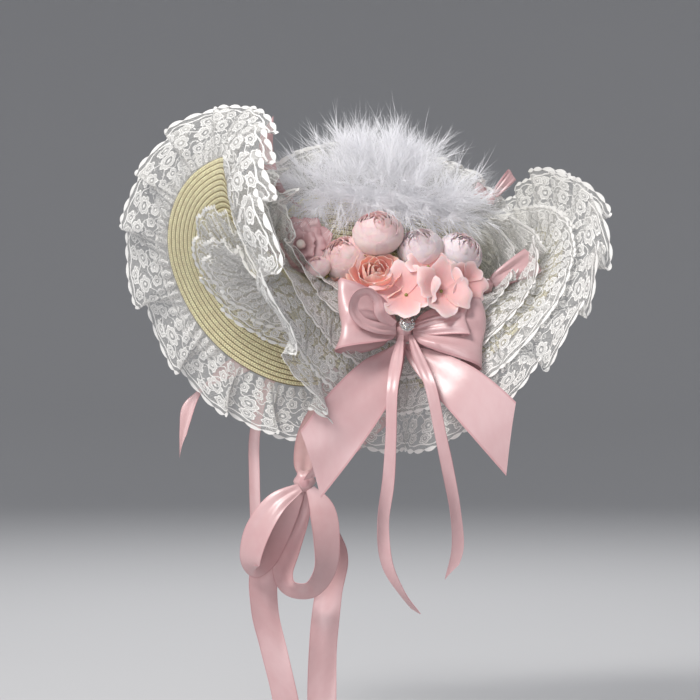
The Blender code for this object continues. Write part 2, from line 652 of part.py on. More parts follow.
def make_chin_ribbon():
    """The chin strap from one side of the crown to the other, with its bow and long tails under the chin."""
    make_strap("chin_strap_near", STRAP_NEAR, 12)
    make_strap("chin_strap_far", STRAP_FAR, 12)
    centre = trim_place(*CHIN_KNOT[0])
    directions = facing(72, 0)
    make_knot("chin_knot", centre, directions, CHIN_KNOT[1], SATIN_MATERIAL)
    for row in CHIN_LOOPS:
        make_loop(row, centre, directions, CHIN_KNOT[1])
    make_knot_ribbons(CHIN_RIBBONS, centre, directions, CHIN_KNOT[1])


def build():
    """Makes every piece of the hat."""
    walls = straw_walls(make_straw_crown(), make_straw_brim())
    make_edge_ruffle()
    for row in BRIM_RUFFLES:
        make_brim_ruffle(row)
    make_crown_lace()
    make_feather_boa()
    make_flowers(walls)
    make_bow(walls)
    make_small_bows(walls)
    make_far_bow(walls)
    make_rosette(walls)
    make_chin_ribbon()


clear_scene()
HAT = make_collection("sun_hat")
STRAW_MATERIAL = make_material("straw", (0.80, 0.72, 0.44), 0.7)
LACE_MATERIAL = make_material("lace", (0.88, 0.88, 0.87), 0.8)
SATIN_MATERIAL = make_material("satin", (0.80, 0.45, 0.50), 0.35)
FEATHER_MATERIAL = make_material("feather", (0.85, 0.84, 0.90), 0.9)
BUD_MATERIAL = make_material("bud", (0.90, 0.62, 0.60), 0.6)
ROSE_MATERIAL = make_material("rose", (0.88, 0.38, 0.32), 0.6)
BLOSSOM_MATERIAL = make_material("blossom", (0.90, 0.55, 0.55), 0.6)
PEARL_MATERIAL = make_material("pearl", (0.90, 0.87, 0.82), 0.25)
STONE_MATERIAL = make_material("stone", (0.90, 0.90, 0.92), 0.1, 0.6)
build()
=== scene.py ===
"""The looks of the sun hat: sewn straw, lace, satin ribbon, silk flowers and feathers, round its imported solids.

A Blender add-on that is run as a script. Each operator makes one piece or a group of like pieces. Metres, +Z up.
"""

import math

import bpy
import numpy as np
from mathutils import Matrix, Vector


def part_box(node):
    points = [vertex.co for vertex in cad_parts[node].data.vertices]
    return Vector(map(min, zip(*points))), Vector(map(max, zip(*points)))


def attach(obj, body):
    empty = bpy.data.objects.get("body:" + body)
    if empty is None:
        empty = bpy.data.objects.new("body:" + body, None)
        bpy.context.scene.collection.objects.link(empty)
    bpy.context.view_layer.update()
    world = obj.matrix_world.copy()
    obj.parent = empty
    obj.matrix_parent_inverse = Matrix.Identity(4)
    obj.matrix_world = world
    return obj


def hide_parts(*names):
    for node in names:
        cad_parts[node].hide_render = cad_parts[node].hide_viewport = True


bl_info = {
    "name": "Sun Hat",
    "version": (1, 0, 0),
    "blender": (4, 5, 0),
    "location": "3D View > Sidebar > Sun Hat",
    "description": "Builds a straw sun hat with lace, flowers, feathers and satin bows",
    "category": "Add Mesh",
}

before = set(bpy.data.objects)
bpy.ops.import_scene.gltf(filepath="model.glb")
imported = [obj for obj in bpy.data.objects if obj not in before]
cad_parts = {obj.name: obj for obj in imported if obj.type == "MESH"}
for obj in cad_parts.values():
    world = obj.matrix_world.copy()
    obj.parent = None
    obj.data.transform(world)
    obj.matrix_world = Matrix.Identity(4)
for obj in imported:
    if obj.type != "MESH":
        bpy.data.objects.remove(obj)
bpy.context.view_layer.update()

MM = 0.001

# The straw's form, as in the part's source
CROWN_HALF_WIDTH = 80 * MM
CROWN_HALF_LENGTH = 94 * MM
CROWN_HEIGHT = 85 * MM
CROWN_SQUARENESS = 3.2
STRAW = 2.5 * MM
BRIM_SEAM = 1.0 * MM
WORN_TILT = math.radians(-8)
# Azimuth from the front in degrees, mean rise of the brim in degrees, and brim width in millimetres
BRIM_RISE = ((0, 60), (25, 38), (42, 2), (62, -42), (82, -62), (102, -45), (118, -8), (138, 32), (160, 52), (180, 57))
BRIM_WIDTH = ((0, 115), (40, 112), (85, 104), (130, 98), (180, 100))
BRIM_CURL = 0.55

# The trimmed side's own directions
TRIM_AZIMUTH = math.radians(72)
OUTWARD = np.array([math.sin(TRIM_AZIMUTH), -math.cos(TRIM_AZIMUTH), 0.0])
BACKWARD = np.array([math.cos(TRIM_AZIMUTH), math.sin(TRIM_AZIMUTH), 0.0])
UPWARD = np.array([0.0, 0.0, 1.0])
# A direction that no strand or flower runs along
ASKEW = np.array([0.31, 0.17, 0.93])

# The straw's mesh: columns round the brim and the crown, and the half sizes of the button on top
BRIM_COLUMNS = 208
CROWN_COLUMNS = 100
BUTTON = (9 * MM, 11 * MM)

# The edge lace: its cloth's length and depth, its lobes, and how far they fold, wave and crumple
EDGE_CLOTH = 1.95
EDGE_DEPTH = 50 * MM
EDGE_LOBES = 32
EDGE_FOLD = 0.27
EDGE_WAVE = 8.5 * MM
EDGE_CRUMPLE = 0.7
# All lace: its space from the straw's edge, the notch between two scallops, cloth for each length that a tier covers,
# the length of a crumple's wave, and the brim's mean width, which turns shares of it into lengths
GAP = 0.4 * MM
NOTCH = 2.2 * MM
LACE_FULLNESS = 1.3
CRUMPLE = 14 * MM
MEAN_BRIM = 105 * MM
# Brim lace: node, piece, first and last azimuth in degrees, 1 for the upper side or -1 for the underside, and its
# tiers: inner and outer share of the brim's width, then base height, lift, wave and crumple in mm, and lobes
BRIM_LACE = (
    ("brim_ruffle_front", "brim_lace_front", -58, 92, 1, (
        (0.70, 1.20, 0.2, 5, 5, 0.9, 15), (0.42, 0.92, 1.0, 34, 12, 2.8, 11), (0.20, 0.66, 1.0, 38, 12, 3.2, 10),
        (0.03, 0.42, 0.6, 20, 8, 2.4, 9))),
    ("brim_ruffle_back", "brim_lace_back", 84, 240, 1, (
        (0.70, 1.20, 0.2, 5, 5, 0.9, 15), (0.42, 0.92, 1.0, 32, 14, 3.4, 10), (0.20, 0.66, 1.0, 34, 14, 3.8, 9),
        (0.03, 0.42, 0.6, 20, 9, 2.6, 8))),
    ("face_ruffle", "face_lace", -112, 112, -1, (
        (0.14, 0.66, 0.4, 7, 3.5, 0.15, 17), (0.12, 0.46, 1.0, 12, 4.5, 0.2, 14))),
)
# How far the edge lace folds back over the brim: azimuth and angle in degrees
FOLD_BACK = ((-180, 0), (-12, 0), (0, 8), (10, 30), (20, 54), (32, 62), (40, 50), (48, 26), (56, 8), (66, 0),
             (180, 0))
# Where the trim presses the lace flat on the brim: middle azimuth, half of the flat stretch and fade-out in degrees
PRESSED = (86, 30, 40)
# The lace arch on the crown: half its spread, radius, depth, distance from the crown's middle, lobes, height over the
# straw, the length of one tier's cloth, and how far each tier stands back in mm
ARCH_SPREAD = math.radians(62)
ARCH_RADIUS = 84 * MM
ARCH_DEPTH = 42 * MM
ARCH_INWARD = 12 * MM
ARCH_LOBES = 9
ARCH_SEAT = 1 * MM
ARCH_CLOTH = 0.34
ARCH_TIERS = (0.0, 5.0)
# The lace's flowers: how far apart they are, shift, depth from the hem and radius in mm, and petals
LACE_FLOWERS = ((10.4, 0.0, 11.2, 3.7, 5), (15.6, 0.5, 21.0, 5.6, 6), (11.7, 0.2, 33.0, 4.3, 5),
                (13.9, 0.6, 43.5, 4.8, 6))
# The winding stems between them: depth from the hem, wavelength, phase in radians and swing in mm
LACE_STEMS = ((15.6, 15.6, 0.0, 2.4), (27.5, 11.7, 1.0, 2.2), (38.2, 13.9, 2.0, 2.0))

# The boa: first and last azimuth in degrees, height on the crown, how far it stands off the straw, and its radius
BOA_SPAN = (26, 138)
BOA_HEIGHT = 0.5
BOA_LIFT = 9 * MM
BOA_RADIUS = 8 * MM
# Rows of plumes: piece, node, then share of the plumes, height on the crown, first and last azimuth, lowest and
# highest lean in degrees, shortest and longest in mm, and seed
PLUMES = (
    ("marabou_boa", ["feather_boa"], (0.6, 0.5, 18, 128, -55, 75, 22, 40, 17)),
    ("marabou_crest", [], (0.42, 0.8, 22, 108, 34, 118, 28, 48, 23)),
)

# Flowers: node, back, up and out place and radius in mm, azimuth and elevation that each one faces, and its look
BUDS = (
    ("bud_1", 4, 47, 108, 20, 66, 50, "warm"),
    ("bud_2", -23, 27, 101, 19, 48, 44, "warm"),
    ("bud_3", 39, 34, 104, 18, 52, 44, "pale"),
    ("bud_4", 73, 31, 94, 18, 104, 42, "pale"),
    ("bud_5", -46, 18, 114, 10, 50, 48, "warm"),
)
ROSE = ("rose", 3, 8, 118, 26, 66, 40)
SIDE_ROSE = (-25, 1, 106, 15, 48, 30)
BLOSSOMS = (
    ("hydrangea_1", 27, -6, 132, 24, 62, 30),
    ("hydrangea_2", 55, -3, 136, 22, 92, 22),
    ("hydrangea_3", 75, 5, 120, 17, 108, 10),
    ("hydrangea_4", 45, 17, 118, 17, 84, 48),
)
ROSETTE = ("rosette", -59, 36, 91, 26, 66, 8)
# The pearl's height over the rosette, as a share of its radius
PEARL_LIFT = 0.42
# Rings of petals from the outside in: petals, half the angle that one spans in degrees, and its curve from base to
# rim, four heights and radii as shares of the flower's radius
BUD_RINGS = (
    (4, 60, ((-0.96, 0.05), (-0.95, 1.12), (0.0, 1.22), (0.34, 0.94))),
    (4, 58, ((-0.9, 0.05), (-0.9, 1.06), (0.1, 1.2), (0.54, 0.80))),
    (5, 46, ((-0.85, 0.05), (-0.8, 1.0), (0.2, 1.12), (0.68, 0.64))),
    (5, 44, ((-0.8, 0.05), (-0.7, 0.9), (0.3, 0.98), (0.77, 0.50))),
    (5, 42, ((-0.7, 0.05), (-0.6, 0.76), (0.4, 0.82), (0.82, 0.37))),
    (4, 48, ((-0.6, 0.05), (-0.5, 0.6), (0.45, 0.66), (0.84, 0.25))),
    (4, 48, ((-0.5, 0.05), (-0.4, 0.44), (0.45, 0.48), (0.84, 0.14))),
    (3, 56, ((-0.4, 0.05), (-0.3, 0.26), (0.4, 0.3), (0.82, 0.05))),
)
# How much the buds are pressed flat, and their heart's radius as a share of their own
BUD_FLATNESS = 0.88
BUD_HEART = 0.62
ROSE_RINGS = (
    (5, 42, ((-0.5, 0.06), (-0.52, 0.72), (0.05, 0.98), (-0.12, 1.16))),
    (5, 42, ((-0.46, 0.06), (-0.46, 0.62), (0.2, 0.86), (0.14, 1.02))),
    (5, 42, ((-0.42, 0.06), (-0.4, 0.58), (0.3, 0.74), (0.4, 0.8))),
    (4, 52, ((-0.4, 0.05), (-0.36, 0.52), (0.34, 0.62), (0.52, 0.56))),
    (4, 50, ((-0.36, 0.05), (-0.3, 0.44), (0.36, 0.5), (0.6, 0.36))),
    (3, 62, ((-0.3, 0.05), (-0.2, 0.34), (0.36, 0.36), (0.62, 0.2))),
    (3, 60, ((-0.2, 0.04), (-0.1, 0.22), (0.36, 0.24), (0.6, 0.09))),
)
BLOSSOM_PETAL = ((0.0, 0.05), (0.02, 0.44), (0.52, 0.72), (0.40, 1.05))
ROSETTE_RINGS = (
    (7, 33, ((-0.12, 0.08), (0.02, 0.42), (0.12, 0.74), (-0.08, 1.02))),
    (6, 37, ((-0.02, 0.08), (0.16, 0.32), (0.3, 0.56), (0.16, 0.74))),
    (5, 42, ((0.06, 0.06), (0.26, 0.22), (0.4, 0.38), (0.34, 0.48))),
)

# Ribbons: thickness, how far a loop's two halves part at the knot as a share of its depth, their gap from the knot in
# mm, and the chin strap's width
RIBBON = 0.5 * MM
LOOP_SPREAD = 0.3
LOOP_GAP = 0.2
STRAP_RIBBON = 25 * MM
# Rows and columns of the ribbons' meshes
LOOP_GRID = (49, 21)
OPEN_LOOP_GRID = (84, 13)
TAIL_GRID = (84, 15)
STRAP_GRID = (80, 13)
END_GRID = (40, 13)
# Bows: the knot's node, how it sits (on the brim by azimuth and share of width, or facing an azimuth and elevation),
# the knot's half sizes in mm, and its loops: node, lean, rise, length, depth, width at the knot and full width in mm
BOWS = (
    ("bow_knot", "brim", 85, 0.58, (8, 9, 13), (
        ("bow_loop_front", 174, 20, 52, 14, 13, 63),
        ("bow_loop_back", -8, 14, 56, 14, 13, 63), ("bow_loop_back_inner", -1, 27, 46, 6, 9, 25))),
    ("back_bow_knot", "facing", 92, 14, (6, 7, 8), (
        ("back_bow_loop_front", 198, 8, 28, 6, 8, 25), ("back_bow_loop_back", 26, 10, 42, 6, 8, 25))),
    ("top_bow_knot", "facing", 90, 0, (4, 5, 4), (
        ("top_bow_loop_front", 150, 10, 14, 3, 5, 12), ("top_bow_loop_back", 50, 10, 24, 3, 5, 11))),
    ("far_bow_knot", "brim", -80, 0.58, (7, 8, 12), (
        ("far_bow_loop_front", 6, 16, 44, 8, 12, 40), ("far_bow_loop_back", 174, 8, 44, 8, 12, 40))),
    ("chin_knot", "facing", 72, 0, (9, 10, 7), ()),
)
# Loops whose hole shows: node, knot, and rows of back, up and out from the knot's centre and width in mm, with the
# turn of the width out of the loop's plane in degrees
OPEN_LOOPS = (
    ("bow_loop_front_inner", "bow_knot", (
        (-6, 2, 17, 9, 10), (-20, 3, 30, 10, 20), (-33, 8, 36, 10, 30), (-40, 18, 38, 10, 40), (-37, 29, 38, 10, 48),
        (-28, 32, 36, 10, 50), (-21, 25, 34, 10, 42), (-18, 14, 31, 10, 30), (-8, 5, 20, 9, 15))),
    ("chin_loop_front", "chin_knot", (
        (-4, -5, 6, 8, 10), (-25, -19, 11, 20, 22), (-40, -42, 13, 25, 28), (-46, -65, 10, 25, 42),
        (-42, -77, 2, 25, 60), (-32, -69, -5, 25, 55), (-25, -50, -8, 24, 30), (-14, -27, -6, 18, 15),
        (-3, -6, -4, 8, 10))),
    ("chin_loop_back", "chin_knot", (
        (0, -6, -6, 8, 10), (-5, -28, -12, 20, 20), (-14, -56, -13, 24, 28), (-19, -79, -9, 25, 45),
        (-12, -92, 0, 25, 52), (6, -92, 8, 25, 50), (18, -74, 12, 25, 40), (19, -48, 13, 25, 28),
        (15, -24, 10, 22, 15), (5, -6, 5, 8, 5))),
)
# Ribbons that hang from a knot: node, knot, the foot's direction across, up and out, the share of the length that the
# slanted cut takes, pleat in mm, and rows of back, up, out, width, lean and turn in mm and degrees
TAILS = (
    ("bow_tail_front", "bow_knot", (-0.2, -1, 0.2), 0.2, 2.2, (
        (0, 0, 0, 6, 0), (-9, -13, 8, 22, -20), (-20, -28, 21, 36, -32), (-40, -53, 34, 46, -24),
        (-61, -82, 40, 47, -26), (-86, -114, 34, 47, -30))),
    ("bow_tail_back", "bow_knot", (0.2, -1, -0.4), -0.2, 2.2, (
        (0, 0, 0, 6, 0), (12, -10, 8, 20, 30), (28, -22, 22, 32, 40), (46, -36, 34, 40, 38), (70, -60, 40, 45, 36),
        (98, -92, 40, 45, 38))),
    ("bow_streamer_front", "bow_knot", (-0.5, -0.9, 1.2), 0.04, 0.4, (
        (0, 0, 0, 4, 0, 0), (-4, -20, 16, 10, 4, 10), (-8, -46, 33, 10, 0, 25), (-9, -82, 34, 10, 6, 30),
        (-11, -117, 30, 10, -8, 10), (-15, -152, 25, 10, 6, -20), (-12, -184, 20, 10, 20, 20),
        (0, -208, 17, 10, 36, 60), (14, -226, 15, 10, 40, 74))),
    ("bow_streamer_back", "bow_knot", (0.5, -0.9, 1.2), -0.05, 0.4, (
        (0, 0, 0, 4, 0, 0), (7, -20, 18, 10, -8, 0), (16, -43, 32, 10, -4, 15), (23, -77, 32, 10, 4, 25),
        (30, -110, 27, 10, -6, 0), (36, -142, 22, 10, 4, -25), (38, -172, 17, 10, 8, -10),
        (32, -196, 12, 10, 30, 10))),
    ("far_tail", "far_bow_knot", (0.5, -0.8, 0.5), -0.12, 1.2, (
        (0, 0, 0, 3, 0), (-5, -10, -9, 8, 50), (-32, -20, -20, 16, 76), (-70, -34, -24, 24, 60),
        (-92, -56, -20, 18, 30), (-99, -82, -14, 9, 12), (-102, -110, -8, 2, 16))),
    ("far_streamer", "far_bow_knot", (-0.2, -1, 0.6), 0.04, 0.4, (
        (0, 0, 0, 4, 0), (-14, -24, -20, 10, -8), (-32, -50, -26, 10, -4), (-40, -90, -24, 10, 4),
        (-40, -130, -20, 10, -6), (-39, -166, -18, 10, 4), (-38, -200, -16, 10, 10))),
    ("chin_tail_front", "chin_knot", (-0.5, -0.7, -0.8), 0.08, 1.2, (
        (0, 0, 0, 4, 0, 0), (-16, -34, -12, 22, 20, 10), (-31, -69, -12, 25, 4, -10), (-31, -106, -10, 25, -6, -20),
        (-23, -141, -6, 25, -12, 0), (-13, -183, -4, 25, -12, 15), (-7, -219, -4, 25, -4, 10))),
    ("chin_tail_back", "chin_knot", (0.5, -0.7, -0.8), -0.08, 1.2, (
        (0, 0, 0, 4, 0, 0), (14, -34, -12, 22, -16, 0), (22, -64, -12, 25, 4, 20), (16, -97, -10, 25, 10, 10),
        (12, -139, -6, 25, 4, -15), (11, -181, -4, 25, -2, 0), (11, -219, -4, 25, 2, 15))),
)
# The small ribbon end at the crown's front: rows as above, from its seat's azimuth and height on the crown
FRONT_RIBBON = ((0, 0, 0, 5, -30), (-12, 8, 5, 8, -25), (-26, 24, 7, 11, -15), (-33, 50, 8, 12, -10),
                (-31, 81, 9, 8, -20))
FRONT_RIBBON_SEAT = (24, 0.36)
# The chin strap's two halves: x, y and z in mm, the direction of the width in degrees from +X, and the width in mm
STRAPS = (
    ("chin_strap_near", (
        (77.6, 14, -2.9, 97, 25), (83, 8, -45, 84, 25), (82, -10, -92, 80, 25), (62, -34, -124, 86, 25),
        (40, -54, -148, 94, 20), (22.9, -67.9, -161, 118, 4))),
    ("chin_strap_far", (
        (-77.6, 14, -2.9, 83, 25), (-83, 8, -45, 96, 25), (-80, -14, -92, 100, 25), (-56, -38, -124, 95, 25),
        (-22, -54, -150, 86, 20), (6.6, -63.4, -161, 80, 5))),
)

# The brooch in mm: radius, height and sides of its middle stone and of the small ones, how many small ones there are,
# and their ring's radius
BROOCH_MIDDLE = (3.4, 3.2, 10)
BROOCH_SMALL = (1.35, 1.5, 8)
BROOCH_STONES = 10
BROOCH_RING = 5.3
# Its metal in mm: radius, half thickness and sides of the plate, the middle stone's cup and the small cups
BROOCH_PLATE = (6.4, 1.3, 36)
BROOCH_CUP = (3.8, 1.3, 28)
BROOCH_SMALL_CUP = (1.5, 0.9, 16)

# The camera and stage, in metres: the floor is level out to STAGE_FLAT and rises by STAGE_RISE up to STAGE_RADIUS,
# and the lights stand round a point at the height LIGHTS_AIM
CAMERA_DISTANCE = 2.2
CAMERA_BACK = -0.0191
CAMERA_UP = -0.0505
CAMERA_LENS = 130.0
FLOOR = -0.403
STAGE_FLAT = 3.6
STAGE_RADIUS = 7.0
STAGE_RISE = 4.5
LIGHTS_AIM = -0.08
SURROUND = (0.9, 0.93, 1.0, 1.0)
SURROUND_STRENGTH = 0.31
# Lights: name, azimuth and elevation in degrees, distance and size in metres, power in watts, and colour
LIGHTS = (
    ("key", 34, 46, 2.6, 0.8, 55, (1.0, 0.98, 0.95)),
    ("fill", 60, 4, 2.8, 1.6, 25, (0.98, 0.98, 1.0)),
    ("rim", 250, 50, 2.6, 1.2, 40, (1.0, 1.0, 1.0)),
)


def unit(vectors):
    """Vectors scaled to length one."""
    return vectors / np.maximum(np.linalg.norm(vectors, axis=-1, keepdims=True), 1e-12)


def cubic(values, slopes, i, t, span=1):
    """Cubic pieces between values i and i + 1 with shared slopes, at shares t of a span."""
    start = (2 * t**3 - 3 * t**2 + 1) * values[i] + (t**3 - 2 * t**2 + t) * span * slopes[i]
    end = (3 * t**2 - 2 * t**3) * values[i + 1] + (t**3 - t**2) * span * slopes[i + 1]
    return start + end


def from_table(table, azimuth):
    """A value by azimuth in radians, read from a table that mirrors about the front."""
    degrees = np.abs((np.degrees(azimuth) + 180) % 360 - 180)
    turns = np.array([row[0] for row in table], float)
    values = np.array([row[1] for row in table], float)
    turns = np.concatenate([-turns[:0:-1], turns, 360 - turns[-2::-1]])
    values = np.concatenate([values[:0:-1], values, values[-2::-1]])
    i = np.clip(np.searchsorted(turns, degrees, side="right") - 1, 0, len(turns) - 2)
    span = turns[i + 1] - turns[i]
    return cubic(values, np.gradient(values, turns), i, (degrees - turns[i]) / span, span)


def worn(points):
    """Points turned by the hat's worn tilt about X."""
    cos, sin = math.cos(WORN_TILT), math.sin(WORN_TILT)
    x, y, z = points[..., 0], points[..., 1], points[..., 2]
    return np.stack([x, cos * y - sin * z, sin * y + cos * z], axis=-1)


def brim(azimuth, share):
    """Points of the brim's middle surface: each section is an arc whose slope grows from the crown to the edge."""
    azimuth, share = np.broadcast_arrays(np.asarray(azimuth, float), np.asarray(share, float))
    rise = np.radians(from_table(BRIM_RISE, azimuth))
    width = from_table(BRIM_WIDTH, azimuth) * MM
    out = unit(np.stack([np.sin(azimuth) / CROWN_HALF_WIDTH, -np.cos(azimuth) / CROWN_HALF_LENGTH], axis=-1))
    half_turn = BRIM_CURL * rise * share
    chord = width * share * np.sinc(half_turn / np.pi)
    slope = (1 - BRIM_CURL) * rise + half_turn
    across = BRIM_SEAM + chord * np.cos(slope)
    x = CROWN_HALF_WIDTH * np.sin(azimuth) + out[..., 0] * across
    y = -CROWN_HALF_LENGTH * np.cos(azimuth) + out[..., 1] * across
    return worn(np.stack([x, y, chord * np.sin(slope)], axis=-1))


def brim_frame(azimuth, share):
    """The brim's outward direction and its upper side's normal, from differences over small steps."""
    step = 0.01
    outward = unit(brim(azimuth, share) - brim(azimuth, share - step))
    around = unit(brim(azimuth + step, share) - brim(azimuth - step, share))
    return outward, unit(np.cross(outward, around))


def edge_azimuth(turn):
    """Azimuths that divide the brim's edge into equal lengths, for turns from 0 to 1 that may run on round."""
    azimuth = np.linspace(-np.pi, np.pi, 1441)
    length = run_length(brim(azimuth, 1.0))
    whole = np.floor(turn)
    return np.interp(turn - whole, length / length[-1], azimuth) + 2 * np.pi * whole


def crown(azimuth, height):
    """Points of the crown's outer surface, a dome with squared shoulders, for heights from 0 at the mouth to 1."""
    azimuth, height = np.broadcast_arrays(np.asarray(azimuth, float), np.asarray(height, float))
    rise = height * np.pi / 2
    flat = np.cos(rise).clip(0, 1) ** (2 / CROWN_SQUARENESS)
    tall = np.sin(rise).clip(0, 1) ** (2 / CROWN_SQUARENESS)
    x = CROWN_HALF_WIDTH * flat * np.sin(azimuth)
    y = -CROWN_HALF_LENGTH * flat * np.cos(azimuth)
    return worn(np.stack([x, y, CROWN_HEIGHT * tall], axis=-1))


def crown_normal(azimuth, height):
    """The crown's outward normal, from differences over small steps."""
    step = 0.01
    up = crown(azimuth, height + step) - crown(azimuth, height - step)
    around = crown(azimuth + step, height) - crown(azimuth - step, height)
    return unit(np.cross(around, up))


def trim_place(back, up, out):
    """Points on the trimmed side from their distances in millimetres."""
    return (BACKWARD * back + UPWARD * up + OUTWARD * out) * MM


def facing(azimuth, elevation):
    """Across, up and out directions of a piece that faces an azimuth and elevation in degrees."""
    turn, lift = math.radians(azimuth), math.radians(elevation)
    level = np.array([math.sin(turn), -math.cos(turn), 0])
    across = np.array([math.cos(turn), math.sin(turn), 0])
    out = level * math.cos(lift) + UPWARD * math.sin(lift)
    return across, np.cross(out, across), out


def around_axis(out):
    """Two directions at right angles to an axis, or to each of several, and to each other."""
    side = unit(np.cross(out, ASKEW))
    return side, np.cross(out, side)


def waver(turn, seed, counts, down=0.0):
    """Seeded unevenness, about -1 to 1: a sum of sine waves with whole counts, so that a ring closes."""
    chance = np.random.default_rng(seed)
    total = 0.0
    for count in counts:
        shift, drift = chance.uniform(-np.pi, np.pi, 2)
        total = total + np.sin(2 * np.pi * count * turn + shift + drift * down)
    return total / math.sqrt(len(counts))


def curve_through(rows, place):
    """Smooth values of table rows at places from 0 to 1: cubic pieces with shared slopes, evenly spaced by row."""
    rows = np.array(rows, float)
    place = np.asarray(place, float) * (len(rows) - 1)
    i = np.clip(place.astype(int), 0, len(rows) - 2)
    return cubic(rows, np.gradient(rows, axis=0), i, (place - i)[..., None])


def run_length(points):
    """Lengths along a line of points, from 0 at the first."""
    return np.concatenate([[0], np.cumsum(np.linalg.norm(np.diff(points, axis=0), axis=-1))])


def strip_grid(size):
    """Places from 0 to 1 along a strip and from -1 to 1 across it, as two grids of rows and columns."""
    rows, columns = size
    return np.broadcast_arrays(np.linspace(0, 1, rows)[:, None], np.linspace(-1, 1, columns)[None])


def grid_normal(middle, ring=False):
    """Unit normals of grids of points (patch, row, column): the cross product of column and row differences."""
    along = np.gradient(middle, axis=2)
    if ring:
        along[:, :, 0] = middle[:, :, 1] - middle[:, :, -2]
        along[:, :, -1] = along[:, :, 0]
    return unit(np.cross(along, np.gradient(middle, axis=1)))


def sheet_body(middle, cloth, thickness, tone=0.0, ring=False):
    """A closed thin body on grids of middle points (patch, row, column): each side stands off by half the thickness
    along the grid's normal, and the four edges are walled. In a ring the last column repeats the first."""
    middle = np.asarray(middle, float)
    if middle.ndim == 3:
        middle = middle[None]
    patches, rows, columns = middle.shape[:3]
    cloth = np.broadcast_to(np.asarray(cloth, float), (patches, rows, columns, 2))
    tone = np.broadcast_to(np.asarray(tone, float), (patches, rows, columns))
    half = np.broadcast_to(np.asarray(thickness, float), (patches, rows, columns))[..., None] / 2
    lift = grid_normal(middle, ring) * half
    points = np.stack([middle + lift, middle - lift], axis=1).reshape(-1, 3)
    below = rows * columns
    corner = np.arange(below).reshape(rows, columns)
    a, b = corner[:-1, :-1].ravel(), corner[:-1, 1:].ravel()
    c, d = corner[1:, 1:].ravel(), corner[1:, :-1].ravel()
    faces = [np.stack([a, b, c, d], axis=-1), np.stack([d, c, b, a], axis=-1) + below]
    edges = [corner[0, ::-1], corner[-1]] + ([] if ring else [corner[:, 0], corner[::-1, -1]])
    faces += [np.stack([edge[:-1], edge[1:], edge[1:] + below, edge[:-1] + below], axis=-1) for edge in edges]
    faces = np.concatenate(faces)
    faces = (faces[None] + 2 * below * np.arange(patches)[:, None, None]).reshape(-1, 4)
    cloth = np.stack([cloth, cloth], axis=1).reshape(-1, 2)[faces]
    tone = np.stack([tone, tone], axis=1).reshape(-1)
    if ring:
        same = np.arange(len(points)).reshape(-1, columns)
        same[:, -1] = same[:, 0]
        kept, faces = np.unique(same.ravel()[faces], return_inverse=True)
        points, tone = points[kept], tone[kept]
    return points, [(faces.reshape(-1, 4), cloth)], tone


def tube_quads(rings, sides):
    """Corner numbers of rings of a tube, the same moved on by one, and the quads between the rings."""
    corner = np.arange(rings * sides).reshape(rings, sides)
    ahead = np.roll(corner, -1, axis=1)
    return corner, ahead, np.stack([corner[:-1], ahead[:-1], ahead[1:], corner[1:]], axis=-1).reshape(-1, 4)


def strand_body(route, radius, sides, tone=0.0):
    """Closed tapering strands along routes (strand, point): rings at right angles to the run, a flat foot, and a tip
    that is one point."""
    route = np.asarray(route, float)
    if route.ndim == 2:
        route = route[None]
    strands, count = route.shape[:2]
    radius = np.broadcast_to(np.asarray(radius, float), (strands, count))
    tone = np.broadcast_to(np.asarray(tone, float), (strands, count))
    heading = unit(np.gradient(route, axis=1))
    side, other = around_axis(heading)
    angle = 2 * np.pi * np.arange(sides) / sides
    spread = side[:, :-1, None] * np.cos(angle)[:, None] + other[:, :-1, None] * np.sin(angle)[:, None]
    rings = route[:, :-1, None] + radius[:, :-1, None, None] * spread
    points = np.concatenate([rings.reshape(strands, -1, 3), route[:, -1:]], axis=1)
    size = points.shape[1]
    corner, ahead, quads = tube_quads(count - 1, sides)
    tips = np.stack([corner[-1], ahead[-1], np.full(sides, size - 1)], axis=-1)
    foot = corner[0, ::-1][None]
    tone = np.concatenate([np.repeat(tone[:, :-1], sides, axis=1), tone[:, -1:]], axis=1).ravel()
    level = np.tile(np.append(np.repeat(np.arange(count - 1), sides), count), strands)
    place = np.stack([np.zeros_like(tone), level], axis=-1)
    groups = []
    for faces in (quads, tips, foot):
        faces = (faces[None] + size * np.arange(strands)[:, None, None]).reshape(-1, faces.shape[1])
        groups.append((faces, place[faces] * MM))
    return points.reshape(-1, 3), groups, tone


def ball_body(centre, axes, rows=10, sides=16, swell=None):
    """A closed rounded body: a sphere's rings stretched along three axes, swollen by a function of turn and rise."""
    rise = np.pi * np.arange(1, rows) / rows
    turn = 2 * np.pi * np.arange(sides) / sides
    turn, rise = np.meshgrid(turn, rise)
    grow = 1.0 if swell is None else swell(turn, rise)
    across, up, out = axes
    flat = np.sin(rise) * grow
    local = np.stack([flat * np.cos(turn), flat * np.sin(turn), -np.cos(rise)], axis=-1).reshape(-1, 3)
    local = np.concatenate([local, [[0, 0, -1], [0, 0, 1]]])
    points = np.asarray(centre) + local @ np.array([across, up, out])
    corner, ahead, quads = tube_quads(rows - 1, sides)
    low, high = len(local) - 2, len(local) - 1
    caps = np.concatenate([
        np.stack([ahead[0], corner[0], np.full(sides, low)], axis=-1),
        np.stack([corner[-1], ahead[-1], np.full(sides, high)], axis=-1),
    ])
    if np.dot(np.cross(across, up), out) < 0:
        quads, caps = quads[:, ::-1], caps[:, ::-1]
    cloth = local[:, :2] * np.linalg.norm(across)
    return points, [(quads, cloth[quads]), (caps, cloth[caps])], local[:, 2] * 0.5 + 0.5


